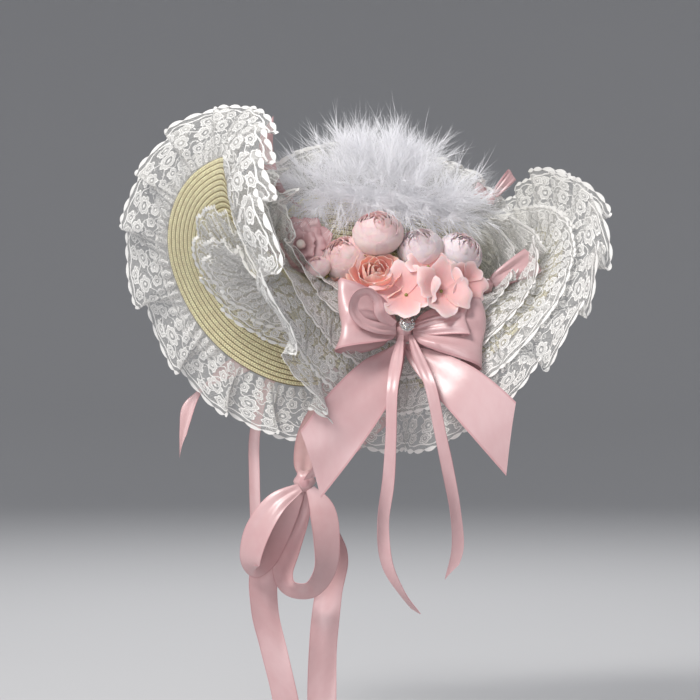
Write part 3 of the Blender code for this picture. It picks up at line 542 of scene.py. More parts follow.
def cloth_area(body):
    """Half the area of a closed thin body: the sum over its faces of half the cross product of the diagonals."""
    points, groups, _ = body
    total = 0.0
    for faces, _ in groups:
        across = points[faces[:, 2]] - points[faces[:, 0]]
        other = points[faces[:, -1]] - points[faces[:, 1]]
        total += np.linalg.norm(np.cross(across, other), axis=-1).sum() / 2
    return total / 2


def new_object(name, groups, crease=55):
    """Puts bodies into one mesh object, one material a group, with edges sharp over the crease angle in degrees."""
    points, tones, corners, cloths, sizes, slots = [], [], [], [], [], []
    start = 0
    for index, (bodies, _) in enumerate(groups):
        for body_points, faces_groups, tone in bodies:
            for faces, cloth in faces_groups:
                corners.append((faces + start).ravel())
                cloths.append(cloth.reshape(-1, 2))
                sizes.append(np.full(len(faces), faces.shape[1]))
                slots.append(np.full(len(faces), index))
            points.append(body_points)
            tones.append(tone)
            start += len(body_points)
    corners, sizes = np.concatenate(corners), np.concatenate(sizes)
    mesh = bpy.data.meshes.new(name)
    mesh.vertices.add(start)
    mesh.vertices.foreach_set("co", np.concatenate(points).astype(np.float32).ravel())
    mesh.loops.add(len(corners))
    mesh.loops.foreach_set("vertex_index", corners.astype(np.int32))
    mesh.polygons.add(len(sizes))
    mesh.polygons.foreach_set("loop_start", np.concatenate([[0], np.cumsum(sizes)[:-1]]).astype(np.int32))
    mesh.polygons.foreach_set("material_index", np.concatenate(slots).astype(np.int32))
    mesh.update(calc_edges=True)
    layer = mesh.uv_layers.new(name="cloth")
    layer.data.foreach_set("uv", np.concatenate(cloths).astype(np.float32).ravel())
    tone = mesh.attributes.new("tone", "FLOAT", "POINT")
    tone.data.foreach_set("value", np.concatenate(tones).astype(np.float32))
    if mesh.validate():
        raise ValueError(f"the mesh of {name} has faulty faces")
    mesh.shade_smooth()
    mesh.set_sharp_from_angle(angle=math.radians(crease))
    for _, material in groups:
        mesh.materials.append(material)
    obj = bpy.data.objects.new(name, mesh)
    bpy.context.scene.collection.objects.link(obj)
    return obj


def link_piece(name, groups, replaced, crease=55):
    """A piece that stands for CAD nodes, which it hides, and rides on the hat."""
    obj = new_object(name, groups, crease)
    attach(obj, "root")
    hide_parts(*replaced)
    return obj


class Wire:
    """A node's output. Each operator on it adds one Math node; numbers alone are worked out in Python."""

    def __init__(self, nodes, socket):
        self.nodes = nodes
        self.socket = socket

    def __add__(self, other):
        return self.nodes.maths("ADD", self, other)

    def __sub__(self, other):
        return self.nodes.maths("SUBTRACT", self, other)

    def __rsub__(self, other):
        return self.nodes.maths("SUBTRACT", other, self)

    def __mul__(self, other):
        return self.nodes.maths("MULTIPLY", self, other)

    def __truediv__(self, other):
        return self.nodes.maths("DIVIDE", self, other)

    def __neg__(self):
        return self * -1

    def __abs__(self):
        return self.nodes.maths("ABSOLUTE", self)

    __radd__ = __add__
    __rmul__ = __mul__


class Nodes:
    """Makes one material's nodes around its Principled shader."""

    def __init__(self, name, **fixed):
        self.material = bpy.data.materials.new(name)
        self.material.use_nodes = True
        self.tree = self.material.node_tree
        self.shader = self.tree.nodes["Principled BSDF"]
        for socket, value in fixed.items():
            self.feed(self.shader.inputs[socket.replace("_", " ")], value)

    def feed(self, socket, value):
        """Links a wire to a socket, or sets the socket's own value."""
        if isinstance(value, Wire):
            self.tree.links.new(value.socket, socket)
        elif isinstance(value, tuple) and socket.type == "RGBA":
            socket.default_value = (*value[:3], 1.0)
        else:
            socket.default_value = value

    def node(self, kind, settings, inputs, output=0):
        """Adds a node: its settings first, a ramp's stops among them, then the values or wires of its sockets."""
        made = self.tree.nodes.new(kind)
        for setting, value in settings.items():
            if setting == "stops":
                ramp = made.color_ramp.elements
                while len(ramp) < len(value):
                    ramp.new(1.0)
                for stop, (place, colour) in zip(ramp, value):
                    stop.position = place
                    stop.color = (*colour[:3], 1.0)
            else:
                setattr(made, setting, value)
        for socket, value in inputs.items():
            self.feed(made.inputs[socket], value)
        return Wire(self, made.outputs[output])

    def maths(self, operation, first, second=0.0):
        """One Math node."""
        return self.node("ShaderNodeMath", {"operation": operation}, {0: first, 1: second})

    def greatest(self, first, *others):
        """The largest of several values."""
        for other in others:
            first = self.maths("MAXIMUM", first, other)
        return first

    def below(self, value, limit, soft=0.12):
        """1 where a value is under a limit and 0 where it is over, with a soft step."""
        settings = {"interpolation_type": "SMOOTHSTEP"}
        ends = {"From Min": -soft, "From Max": soft, "To Min": 1.0, "To Max": 0.0}
        return self.node("ShaderNodeMapRange", settings, {"Value": value - limit, **ends})

    def band(self, value, middle, half, soft=0.12):
        """1 where a value is within half of a middle."""
        return self.below(abs(value - middle), half, soft)

    def mix(self, share, first, second):
        """A colour from the first to the second by a share."""
        return self.node("ShaderNodeMix", {"data_type": "RGBA"}, {0: share, 6: first, 7: second}, 2)

    def cloth(self):
        """Millimetres along and across the piece's own cloth, from its map."""
        place = self.node("ShaderNodeUVMap", {"uv_map": "cloth"}, {})
        split = self.node("ShaderNodeSeparateXYZ", {}, {0: place})
        other = Wire(self, split.socket.node.outputs[1])
        return split * 1000, other * 1000

    def vector(self, x, y, z=0.0):
        """A vector from its three parts."""
        return self.node("ShaderNodeCombineXYZ", {}, {0: x, 1: y, 2: z})

    def tone(self):
        """The piece's own tone, which runs from 0 at a base to 1 at a rim or tip."""
        return self.node("ShaderNodeAttribute", {"attribute_name": "tone"}, {}, 2)

    def noise(self, place, scale, detail=2.0):
        """Noise at a place, 0 to 1."""
        return self.node("ShaderNodeTexNoise", {}, {"Vector": place, "Scale": scale, "Detail": detail})

    def place(self):
        """Object coordinates in metres."""
        return self.node("ShaderNodeTexCoord", {}, {}, 3)

    def finish(self, **inputs):
        """Feeds the shader, with a bump for its normal from a height in metres."""
        height = inputs.pop("height", None)
        if height is not None:
            bump = self.node("ShaderNodeBump", {}, {"Strength": 1.0, "Distance": 1.0, "Height": height})
            self.feed(self.shader.inputs["Normal"], bump)
        for socket, value in inputs.items():
            self.feed(self.shader.inputs[socket.replace("_", " ")], value)
        return self.material


def straw_material(name, light, dark):
    """Sewn straw plait: slanting splints that meet in a V along each row, each with its own tone, and stitching
    grooves at the row's two edges. The grooves, the creases between splints and the V's spine are darkened with
    painted shade."""
    nodes = Nodes(name, Sheen_Weight=0.1)
    along, across = nodes.cloth()
    wobble = nodes.noise(nodes.vector(along, across), 0.35) - 0.5
    slant = along / 2.5 + abs(across) / 2.1 + wobble * 0.5
    splint = nodes.maths("FLOOR", slant)
    within = abs(nodes.maths("FRACT", slant) - 0.5)
    ridge = nodes.below(within, 0.36, 0.16)
    side = nodes.maths("SIGN", across)
    chance = nodes.node("ShaderNodeTexWhiteNoise", {"noise_dimensions": "3D"}, {"Vector": nodes.vector(splint, side)})
    shaded_groove = nodes.below(-abs(across), -1.55, 0.28)
    spine = nodes.below(abs(across), 0.12, 0.22)
    # Painted shade: the creases between splints, the grooves at the row's edges and the V's spine are mixed towards
    # the dark groove colour.
    crease = nodes.greatest(1 - ridge, shaded_groove, spine * 0.7)
    tone = nodes.mix(chance, tuple(0.84 * part for part in light), tuple(min(1.08 * part, 1.0) for part in light))
    colour = nodes.mix(nodes.greatest(crease * 0.62, shaded_groove), tone, dark)
    fibre = nodes.noise(nodes.vector(along * 0.6 + abs(across) * 3, across * 4), 1.6) - 0.5
    height = (ridge * 0.42 - shaded_groove * 0.6 - spine * 0.2 + chance * 0.14 + fibre * 0.08) * MM
    return nodes.finish(Base_Color=colour, Roughness=0.52 + crease * 0.3, height=height)


def lace_material(name, thread, shade, frost=0.62):
    """Floral lace: a frosted scalloped hem, a cord inside it, rows of flowers with open eyes, winding stems and a
    fine crossed net, all measured in millimetres along the lace and in from its hem."""
    # A faint glow in the lace's own colour is painted light, standing in for light that passes through the thin lace.
    nodes = Nodes(name, Roughness=0.7, Sheen_Weight=0.25, Emission_Strength=0.03)
    along, inward = nodes.cloth()
    drift = nodes.noise(nodes.vector(along, inward), 0.12) - 0.5
    warp = nodes.noise(nodes.vector(inward, along, 7.0), 0.3) - 0.5
    along = along + drift * 2.4 + warp * 1.6
    inward = inward + warp * 1.2
    beat = abs(nodes.maths("SINE", along * (math.pi / 6.5)))
    scallop = nodes.below(inward - beat * 1.1, 2.5)
    slot = nodes.band(inward - beat * 1.1, 3.5, 0.6) * nodes.below(0.55 - beat, 0.0, 0.1)
    cord = nodes.band(inward - nodes.maths("SINE", along * (2 * math.pi / 13)) * 0.9, 6.2, 0.6)

    def bloom(spacing, shift, depth, radius, petals):
        x = (nodes.maths("FRACT", along / spacing + shift) - 0.5) * spacing
        y = inward - depth
        reach = nodes.maths("SQRT", x * x + y * y)
        turn = nodes.maths("ARCTAN2", y, x)
        rim = radius * (0.76 + 0.26 * abs(nodes.maths("COSINE", turn * (petals / 2))))
        outline = nodes.greatest(nodes.band(reach - rim, 0.0, 0.42), nodes.band(reach - rim * 0.58, 0.0, 0.26))
        eye = nodes.below(reach, 0.17 * radius)
        open_ring = nodes.band(reach, 0.36 * radius, 0.09 * radius)
        return nodes.greatest(outline, eye), nodes.below(reach - rim, 0.0) * (1 - open_ring)

    def stem(depth, wavelength, phase, swing):
        winding = nodes.maths("SINE", along * (2 * math.pi / wavelength) + phase) * swing
        return nodes.band(inward - depth + winding, 0.0, 0.4)

    outlines, fills = zip(*(bloom(*row) for row in LACE_FLOWERS))
    leaf = nodes.maths("SINE", along * (2 * math.pi / 5.2)) * 2.0
    leaves = nodes.greatest(nodes.band(inward - 15.6 - leaf, 0.0, 0.5) * nodes.band(beat, 0.75, 0.2, 0.08),
                            nodes.band(inward - 27.5 + leaf, 0.0, 0.5) * nodes.band(beat, 0.4, 0.25, 0.08))
    solid = nodes.greatest(scallop, cord, *outlines, *(stem(*row) for row in LACE_STEMS), leaves)
    fill = nodes.greatest(*fills)
    lean = nodes.maths("FRACT", (along + inward) / 1.5)
    other = nodes.maths("FRACT", (along - inward) / 1.5)
    net = nodes.greatest(nodes.band(lean, 0.5, 0.07, 0.04), nodes.band(other, 0.5, 0.07, 0.04))
    solid = solid * (1 - slot)
    alpha = nodes.greatest(solid, fill * frost, net * 0.75)
    # Painted shade: the net, and a little of each flower's fill, take the darker shade colour, for the greyness of
    # thin lace where darker things show through.
    colour = nodes.mix(nodes.greatest(solid, fill * 0.8), shade, thread)
    rib = nodes.maths("SINE", along * 5.2 + inward * 2.0) * 0.04
    height = (solid * 0.22 + fill * 0.12 + rib) * MM
    # The emission colour is the lace's colour: painted light.
    return nodes.finish(Base_Color=colour, Emission_Color=colour, Alpha=alpha, height=height)


def satin_material(name, colour, deep, gloss=0.27):
    """Satin ribbon: fine crossways ribs under a smooth face, a denser woven edge where the tone is high, and a
    slightly uneven colour."""
    nodes = Nodes(name, Sheen_Weight=0.06, Sheen_Roughness=0.35, Specular_IOR_Level=0.85)
    along, across = nodes.cloth()
    uneven = nodes.noise(nodes.vector(along * 0.2, across * 0.2), 0.5)
    rib = nodes.maths("SINE", along * (2 * math.pi / 0.9))
    thread = nodes.noise(nodes.vector(along * 0.4, across * 9), 1.0)
    edge = nodes.below(0.93 - nodes.tone(), 0.0, 0.02)
    tone = nodes.mix(nodes.greatest(uneven * 0.5 + thread * 0.12, edge * 0.8), colour, deep)
    height = (rib * 0.006 + thread * 0.03 + uneven * 0.10 + edge * 0.05) * MM
    return nodes.finish(Base_Color=tone, Roughness=gloss + thread * 0.10 + edge * 0.15, height=height)


def petal_material(name, base, middle, rim, edge):
    """Silk petals: a tone from base to rim, a thin stained edge, and fine veins that run up the petal."""
    nodes = Nodes(name, Roughness=0.6, Sheen_Weight=0.3, Subsurface_Weight=0.25, Subsurface_Scale=0.004)
    across, up = nodes.cloth()
    stops = ((0.0, base), (0.5, middle), (0.86, rim), (0.97, edge))
    colour = nodes.node("ShaderNodeValToRGB", {"stops": stops}, {0: nodes.tone()})
    vein = nodes.noise(nodes.vector(across * 2.2, up * 0.25), 1.1, 3.0)
    cloud = nodes.noise(nodes.vector(across * 0.2, up * 0.2), 0.9)
    colour = nodes.mix(vein * 0.06, colour, edge)
    colour = nodes.mix(cloud * 0.25, colour, middle)
    return nodes.finish(Base_Color=colour, height=(vein * 0.10 + cloud * 0.15) * MM)


def leaf_material(name, light, dark):
    """Green sepals and stems: a mottled tone with lengthways fibres."""
    nodes = Nodes(name, Roughness=0.6)
    across, up = nodes.cloth()
    fibre = nodes.noise(nodes.vector(across * 3, up * 0.4), 0.8)
    return nodes.finish(Base_Color=nodes.mix(fibre, light, dark), height=fibre * 0.12 * MM)


def feather_material(name, root, tip):
    """Down: a cool root and a white tip, with a little difference from place to place."""
    # A faint glow in the down's own colour is painted light, standing in for light scattered through the fluff.
    nodes = Nodes(name, Roughness=0.8, Sheen_Weight=0.4, Emission_Strength=0.05)
    patch = nodes.noise(nodes.place(), 60.0)
    colour = nodes.mix(nodes.tone(), root, tip)
    colour = nodes.mix(patch * 0.3, colour, root)
    return nodes.finish(Base_Color=colour, Emission_Color=colour)


def pearl_material(colour, blush):
    """A pearl: a lustre that turns from cream to blush towards its sides, under a clear coat."""
    nodes = Nodes("pearl", Roughness=0.22, Coat_Weight=0.8, Coat_Roughness=0.06)
    facing_share = nodes.node("ShaderNodeLayerWeight", {}, {"Blend": 0.4}, 1)
    cloud = nodes.noise(nodes.place(), 220.0)
    return nodes.finish(Base_Color=nodes.mix(facing_share * 0.7 + cloud * 0.2, colour, blush))


def stone_material(colour, tint):
    """Cut stones: clear bodies with a faint tint that differs from stone to stone."""
    nodes = Nodes("stone", Roughness=0.03, IOR=1.75, Transmission_Weight=0.75)
    cloud = nodes.noise(nodes.place(), 300.0)
    return nodes.finish(Base_Color=nodes.mix(cloud, colour, tint))


def metal_material(colour):
    """A silvery setting with faint handling marks."""
    nodes = Nodes("setting", Metallic=1.0)
    marks = nodes.noise(nodes.place(), 900.0)
    return nodes.finish(Base_Color=nodes.mix(marks * 0.3, colour, (0.4, 0.38, 0.36)), Roughness=0.2 + marks * 0.15)


def scallop_rows(count):
    """Places from base to hem, closer together near the hem, where the scallops are."""
    place = np.linspace(0, 1, count)
    return (1 - (1 - place) ** 1.5)[:, None]


def gathers(turn, down, lobes, length, fold, wave, crumple, seed):
    """How ruffled cloth slides along its base and lifts off its plane. Both are sines of the lobe count that grow
    towards the hem, so the slide folds the cloth into an S; small pleats fade out from the base, and the whole cloth
    is crumpled by seeded waves in both directions."""
    uneven = waver(turn, seed, (2, 3, 5, 7))
    size = 1 + 0.25 * waver(turn, seed + 1, (3, 4, 7, 11))
    phase = 2 * np.pi * lobes * turn + 0.7 * uneven
    slide = fold / lobes * size * np.sin(phase) * down**1.2
    lift = wave * size * np.sin(phase + 0.45 + 0.5 * waver(turn, seed + 2, (4, 6, 9))) * down**1.1
    pleat = np.sin(5 * phase + 1.5 * waver(turn, seed + 3, (5, 9, 13), down))
    coarse = waver(turn, seed + 4, (2 * lobes + 1, 3 * lobes + 2), 3 * down)
    fine = waver(turn, seed + 5, (round(length / CRUMPLE), round(1.3 * length / CRUMPLE)), 7 * down)
    lift = lift + 1.1 * MM * pleat * (1 - down) ** 1.5
    return slide, lift + crumple * MM * (coarse + 0.35 * fine) * np.sin(0.5 * np.pi * down)


def lace_strip(length, pitch, rows):
    """Turns along a lace strip, places down it, and how deep each place's notch between two scallops is, 0 to 1."""
    count = round(length / pitch)
    turn = np.linspace(0, 1, 5 * count + 1)[None]
    notch = 1 - np.abs(np.sin(np.pi * count * turn)) ** 0.8
    return turn, scallop_rows(rows), notch


def lace_cloth(turn, down, notch, length, depth):
    """Metres along the lace and in from its hem, for its pattern."""
    inward = depth * (1 - down) + NOTCH * notch * down**10
    return np.stack([np.broadcast_to(turn * length, inward.shape), inward], axis=-1)


def make_edge_lace(sizes, lace):
    """Lace gathered all round the brim's edge: out from the edge along the brim, in S-folded lobes."""
    turn, down, notch = lace_strip(EDGE_CLOTH, sizes.scallop, sizes.lace_rows)
    slide, lift = gathers(turn, down, EDGE_LOBES, EDGE_CLOTH, EDGE_FOLD, EDGE_WAVE, EDGE_CRUMPLE, 3)
    azimuth = edge_azimuth(turn + slide)
    outward, normal = brim_frame(azimuth, 1.0)
    lobe = np.cos(2 * np.pi * EDGE_LOBES * turn + 0.7 * waver(turn, 3, (2, 3, 5, 7)))
    depth = EDGE_DEPTH * (1 + 0.05 * waver(turn, 9, (5, 8, 13)) - 0.11 * (0.5 - 0.5 * lobe) ** 2)
    reach = depth * down - NOTCH * notch * down**10
    cup = 3 * MM * np.sin(np.pi * down)
    angles = np.array(FOLD_BACK, float)
    degrees = (np.degrees(azimuth) + 180) % 360 - 180
    fold = np.radians(np.interp(degrees, angles[:, 0], angles[:, 1])) * (0.25 + 0.75 * down)
    ahead = outward * np.cos(fold)[..., None] + normal * np.sin(fold)[..., None]
    across = normal * np.cos(fold)[..., None] - outward * np.sin(fold)[..., None]
    middle = brim(azimuth, 1.0) + ahead * (GAP + reach)[..., None] + across * (lift - cup)[..., None]
    cloth = lace_cloth(turn, down, notch, EDGE_CLOTH, EDGE_DEPTH)
    body = sheet_body(middle, cloth, sizes.lace_thickness, ring=True)
    piece = link_piece("edge_lace", [([body], lace)], ["edge_ruffle"])


def lift_share(azimuth):
    """How far lace on the brim may lift: fully away from the trim, and little under it."""
    middle, flat, fade = PRESSED
    away = ((np.abs(np.degrees(azimuth) - middle) - flat) / fade).clip(0, 1)
    return 0.08 + 0.92 * away**2 * (3 - 2 * away)


def make_brim_lace(row, sizes, lace):
    """Lace tiers on the brim. Each lifts off it towards the hem, less so where the trim lies on the lace."""
    node, name, first, last, side, tiers = row
    span = math.radians(last - first)
    bodies = []
    deepest = total = area = 0.0
    for tier, (start, end, base, lift, wave, crumple, lobes) in enumerate(tiers):
        length = LACE_FULLNESS * run_length(brim(np.radians(np.linspace(first, last, 90)), end))[-1]
        turn, down, notch = lace_strip(length, sizes.scallop, sizes.lace_rows)
        slide, rise = gathers(turn, down, lobes, length, 0.24, wave * MM, crumple, 20 + 7 * tier + len(name))
        azimuth = math.radians(first) + span * (turn + slide)
        free = lift_share(azimuth) if side > 0 else 1.0
        depth = math.hypot((end - start) * MEAN_BRIM, lift * MM)
        deepest = max(deepest, depth)
        share = start + (end - start) * down - notch * down**10 * NOTCH / MEAN_BRIM
        normal = brim_frame(azimuth, share)[1]
        height = STRAW / 2 + (1.2 + base) * MM + (lift * MM * down**1.2 + rise) * free + 2 * MM * tier * down
        middle = brim(azimuth, share) + side * normal * height[..., None]
        cloth = lace_cloth(turn, down, notch, length, depth)
        bodies.append(sheet_body(middle, cloth, sizes.lace_thickness))
        total += length
        area += depth * length
    piece = link_piece(name, [(bodies, lace)], [node])


def make_crown_lace(sizes, lace):
    """The lace arch on the crown: from the crown's ridge outward along an arc, in small lobes."""
    turn, down, notch = lace_strip(ARCH_CLOTH, sizes.scallop, sizes.lace_rows)
    bodies = []
    for tier, shift in enumerate(ARCH_TIERS):
        slide, lift = gathers(turn, down, ARCH_LOBES + tier, ARCH_CLOTH, 0.3, 10 * MM, 3.0, 60 + tier)
        lean = ARCH_SPREAD * (2 * (turn + slide) - 1)
        y = ARCH_RADIUS * np.sin(lean)
        far = ((ARCH_INWARD / CROWN_HALF_WIDTH) ** 2 + (y / CROWN_HALF_LENGTH) ** 2) ** (CROWN_SQUARENESS / 2)
        z = CROWN_HEIGHT * (1 - far.clip(0, 0.999)) ** (1 / CROWN_SQUARENESS) + ARCH_SEAT
        reach = ARCH_DEPTH * down - NOTCH * notch * down**10
        x = ARCH_INWARD - shift * MM + lift
        middle = worn(np.stack([x, y + reach * np.sin(lean), z + reach * np.cos(lean)], axis=-1))
        cloth = lace_cloth(turn, down, notch, ARCH_CLOTH, ARCH_DEPTH)
        bodies.append(sheet_body(middle, cloth, sizes.lace_thickness))
    piece = link_piece("crown_lace_arch", [(bodies, lace)], ["crown_lace"])


def braid_rows(place, rows, columns, width, thickness):
    """Straw braid rows: each is a flat oval ring along place(row, across), which tilts so that it laps the next one.
    The last column repeats the first."""
    across = np.array([-1.0, -0.72, 0.0, 0.72, 1.0])
    azimuth = np.linspace(-np.pi, np.pi, columns + 1)
    middle = np.stack([place(azimuth[None], (row + 0.5 + 0.56 * across[:, None]) / rows) for row in range(rows)])
    middle = middle + grid_normal(middle, ring=True) * (across * 0.35 * MM)[None, :, None, None]
    step = np.linalg.norm(np.diff(middle[:, 2], axis=1), axis=-1)
    along = np.concatenate([np.zeros((rows, 1)), np.cumsum(step, axis=1)], axis=1)[:, None]
    cloth = np.stack(np.broadcast_arrays(along, across[None, :, None] * width / 2), axis=-1)
    wall = thickness * (0.3 + 0.7 * np.sqrt(1 - (0.96 * across) ** 2))
    return sheet_body(middle, cloth, np.broadcast_to(wall[None, :, None], middle.shape[:3]), ring=True)


def make_straw(sizes, straw):
    """The straw hat itself: braid rows round the brim and up the crown, which end in a small button."""
    brim_rows = round(MEAN_BRIM / sizes.braid)

    def brim_place(azimuth, share):
        return brim(azimuth, share.clip(0, 1))

    brim_body = braid_rows(brim_place, brim_rows, BRIM_COLUMNS, sizes.braid, STRAW)
    heights = np.linspace(0, 1, 400)
    length = run_length(crown(0.6, heights))
    crown_rows = round(0.95 * length[-1] / sizes.braid)

    def crown_place(azimuth, share):
        height = np.interp(share.clip(0, 1) * 0.95, length / length[-1], heights)
        azimuth, height = np.broadcast_arrays(azimuth, height)
        return crown(azimuth, height) - crown_normal(azimuth, height.clip(0.02, 0.97)) * STRAW / 2

    crown_body = braid_rows(crown_place, crown_rows, CROWN_COLUMNS, sizes.braid, STRAW)
    top = worn(np.array([0, 0, CROWN_HEIGHT - STRAW / 2]))
    axes = (np.array([BUTTON[0], 0, 0]), worn(np.array([0, BUTTON[1], 0])), worn(np.array([0, 0, STRAW / 2])))
    button = ball_body(top, axes, 8, 24)
    link_piece("straw_braid", [([brim_body], straw)], ["straw_brim"])
    link_piece("straw_top", [([crown_body, button], straw)], ["straw_crown"])


def make_plumes(name, replaced, row, sizes, feather, core):
    """Soft plumes along the crown, each a bent quill with fine curled barbs on both sides."""
    count, height, first, last, low, high, short, long, seed = row
    count = round(count * sizes.plumes)
    chance = np.random.default_rng(seed)
    azimuth = np.radians(chance.uniform(first, last, count))
    level = np.stack([np.sin(azimuth), -np.cos(azimuth), np.zeros(count)], axis=-1)
    around = np.stack([np.cos(azimuth), np.sin(azimuth), np.zeros(count)], axis=-1)
    lean = np.radians(chance.uniform(low, high, count))[:, None]
    turn = np.radians(chance.normal(0, 24, count))[:, None]
    heading = unit((level * np.cos(lean) + UPWARD * np.sin(lean)) * np.cos(turn) + around * np.sin(turn))
    rise = height + chance.uniform(-0.08, 0.08, count)
    foot = crown(azimuth, rise) + crown_normal(azimuth, rise) * BOA_LIFT + heading * 4 * MM
    length = chance.uniform(short, long, count) * MM
    bend = unit(chance.normal(0, 1, (count, 3))) * 0.24 - UPWARD * 0.10
    t = np.linspace(0, 1, 6)
    quill = foot[:, None] + length[:, None, None] * (heading[:, None] * t[:, None] + bend[:, None] * (t**2)[:, None])
    quills = strand_body(quill, 0.2 * MM * (1 - 0.75 * t), 3, 0.3 + 0.5 * t)
    barbs = sizes.barbs
    at = np.linspace(0.05, 1.0, barbs)[None] + chance.uniform(-0.01, 0.01, (count, barbs))
    root = foot[:, None] + length[:, None, None] * (
        heading[:, None] * at[..., None] + bend[:, None] * (at**2)[..., None])
    run = unit(heading[:, None] + 2 * bend[:, None] * at[..., None])
    flat = unit(np.cross(heading, unit(chance.normal(0, 1, (count, 3)))))
    hand = np.where(np.arange(barbs) % 2, 1.0, -1.0)[None, :, None]
    spread = np.radians(chance.normal(0, 40, (count, barbs)))[..., None]
    side = flat[:, None] * hand * np.cos(spread) + np.cross(run, flat[:, None]) * np.sin(spread)
    ahead = 0.6 + 0.9 * at[..., None] + chance.normal(0, 0.12, (count, barbs, 1))
    start = unit(run * ahead + side * (1.0 - 0.4 * at[..., None]))
    reach = 13 + 12 * chance.uniform(0, 1, (count, barbs)) + 16 * chance.uniform(0, 1, (count, barbs)) ** 7
    reach = (reach * (1.1 - 0.3 * at) * MM)[..., None, None]
    s = np.linspace(0, 1, 4)[:, None]
    curl = unit(chance.normal(0, 1, (count, barbs, 3)))[:, :, None] * 0.24 + run[:, :, None] * 0.2
    barb = root[:, :, None] + reach * (start[:, :, None] * s + curl * s**2)
    barb = barb.reshape(-1, 4, 3)
    shade = np.repeat(0.3 + 0.5 * at.ravel()[:, None], 4, axis=1) + 0.2 * np.linspace(0, 1, 4)
    strands = strand_body(barb, np.array([0.17, 0.15, 0.10, 0.0]) * MM, 3, shade)
    link_piece(name, [([*core, quills, strands], feather)], replaced)


def make_down(sizes, feather):
    """A marabou boa along the crown, and a second row of plumes that stands up from the crown's shoulder."""
    place = np.radians(np.linspace(*BOA_SPAN, 40))
    route = crown(place, BOA_HEIGHT) + crown_normal(place, BOA_HEIGHT) * BOA_LIFT
    thick = BOA_RADIUS * np.sqrt(np.sin(np.linspace(0.06, np.pi, 40)).clip(0, 1))
    core = strand_body(route, thick, 20, 0.7)
    for name, replaced, row in PLUMES:
        make_plumes(name, replaced, row, sizes, feather, [core] if replaced else [])


def petal_ring(centre, axes, radius, petals, half_angle, profile, turn, seed, frill=0.03, droop=0.2, point=0.0,
               grid=(9, 9), dent=0.0):
    """Petals round an axis. Each runs up a cubic curve of height and radius, its two corners drop away from the
    middle, and its rim waves. A point narrows it towards its tip."""
    side, other, out = axes
    chance = np.random.default_rng(seed)
    a = np.linspace(-1, 1, grid[0])[None, None, :]
    b = np.linspace(0, 1, grid[1])[None, :, None]
    each = turn + np.arange(petals) * 2 * np.pi / petals + chance.normal(0, 0.05, petals)
    each = each[:, None, None]
    height_of = (1 + chance.normal(0, 0.045, petals))[:, None, None]
    up = b * (1 - droop * np.abs(a) ** 2.4) * height_of
    p = np.array(profile, float)
    cubic = [(1 - up) ** 3, 3 * up * (1 - up) ** 2, 3 * up**2 * (1 - up), up**3]
    high = sum(weight * row[0] for weight, row in zip(cubic, p))
    far = sum(weight * row[1] for weight, row in zip(cubic, p))
    shift = chance.uniform(0, 2 * np.pi, (2, petals))[:, :, None, None]
    rim = (up / 0.95).clip(0, 1) ** 5
    far = far + frill * rim * (np.sin(4.2 * a + shift[0]) + 0.6 * np.sin(9.3 * a + shift[1]))
    high = high + 0.6 * frill * rim * np.sin(6.1 * a + shift[1]) - dent * b * (1 - a**2)
    spread = half_angle * a * (1 - point * b**2.2)
    angle = each + np.radians(spread)
    around = side * np.cos(angle)[..., None] + other * np.sin(angle)[..., None]
    middle = np.asarray(centre) + radius * (out * high[..., None] + around * far[..., None])
    cloth = np.stack(np.broadcast_arrays(a * radius * math.radians(half_angle), b * radius * 1.4), axis=-1)
    tone = np.broadcast_to(b, middle.shape[:3])
    wall = (0.28 + 0.24 * (1 - b)) * MM * np.ones_like(high)
    return sheet_body(middle[:, :, ::-1], cloth[:, :, ::-1], wall, tone)


def petal_rings(centre, axes, radius, rings, twist, seed, frill, droop, grid, start=0.0):
    """Rings of petals one within another, each turned on from the last by a twist."""
    return [petal_ring(centre, axes, radius, petals, half_angle, profile, twist * ring + start, seed + ring, frill,
                       droop, grid=grid)
            for ring, (petals, half_angle, profile) in enumerate(rings)]


def stem_body(node, centre, heading, neck):
    """A flower's stem: from its solid's foot at the straw, its farthest point, up to its base."""
    points = np.array([tuple(vertex.co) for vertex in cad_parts[node].data.vertices])
    foot = points[np.argmax(np.linalg.norm(points - centre, axis=-1))]
    t = np.linspace(0, 1, 6)[:, None]
    route = centre + heading * neck + (foot - centre - heading * neck) * t
    return strand_body(route, np.array([1.5, 1.5, 1.5, 1.5, 1.4, 0]) * MM, 8)


def sepals(centre, axes, radius, seed):
    """Pointed green sepals that hold a flower from below."""
    profile = ((-1.04, 0.06), (-1.12, 0.62), (-0.86, 0.92), (-0.5, 1.03))
    return petal_ring(centre, axes, radius, 5, 26, profile, 0.3 * seed, seed, 0.01, 0.1, 0.85, (7, 8))


def flower_axes(azimuth, elevation, spin):
    """Side, other side and heading of a flower, spun about its heading."""
    out = facing(azimuth, elevation)[2]
    side, other = around_axis(out)
    turned = side * math.cos(spin) + other * math.sin(spin)
    return turned, np.cross(out, turned), out


def make_buds(warm, pale, green):
    """Ranunculus buds: cupped petals ring within ring, whose ruffled rims close over the heart."""
    rings = [(petals, half_angle, [(BUD_FLATNESS * height, reach) for height, reach in profile])
             for petals, half_angle, profile in BUD_RINGS]
    for index, (name, back, up, out, size, azimuth, elevation, look) in enumerate(BUDS):
        centre = trim_place(back, up, out)
        axes = flower_axes(azimuth, elevation, 0.7 * index)
        radius = size * MM
        bodies = petal_rings(centre, axes, radius, rings, 0.9, 40 * index, 0.028, 0.16, (9, 9), index)
        bodies.append(ball_body(centre, [axis * BUD_HEART * radius for axis in axes], 10, 18))
        greens = [sepals(centre, axes, radius, index + 1), stem_body(name, centre, axes[2], -radius)]
        petals = warm if look == "warm" else pale
        link_piece(f"ranunculus_{index + 1}", [(bodies, petals), (greens, green)], [name])


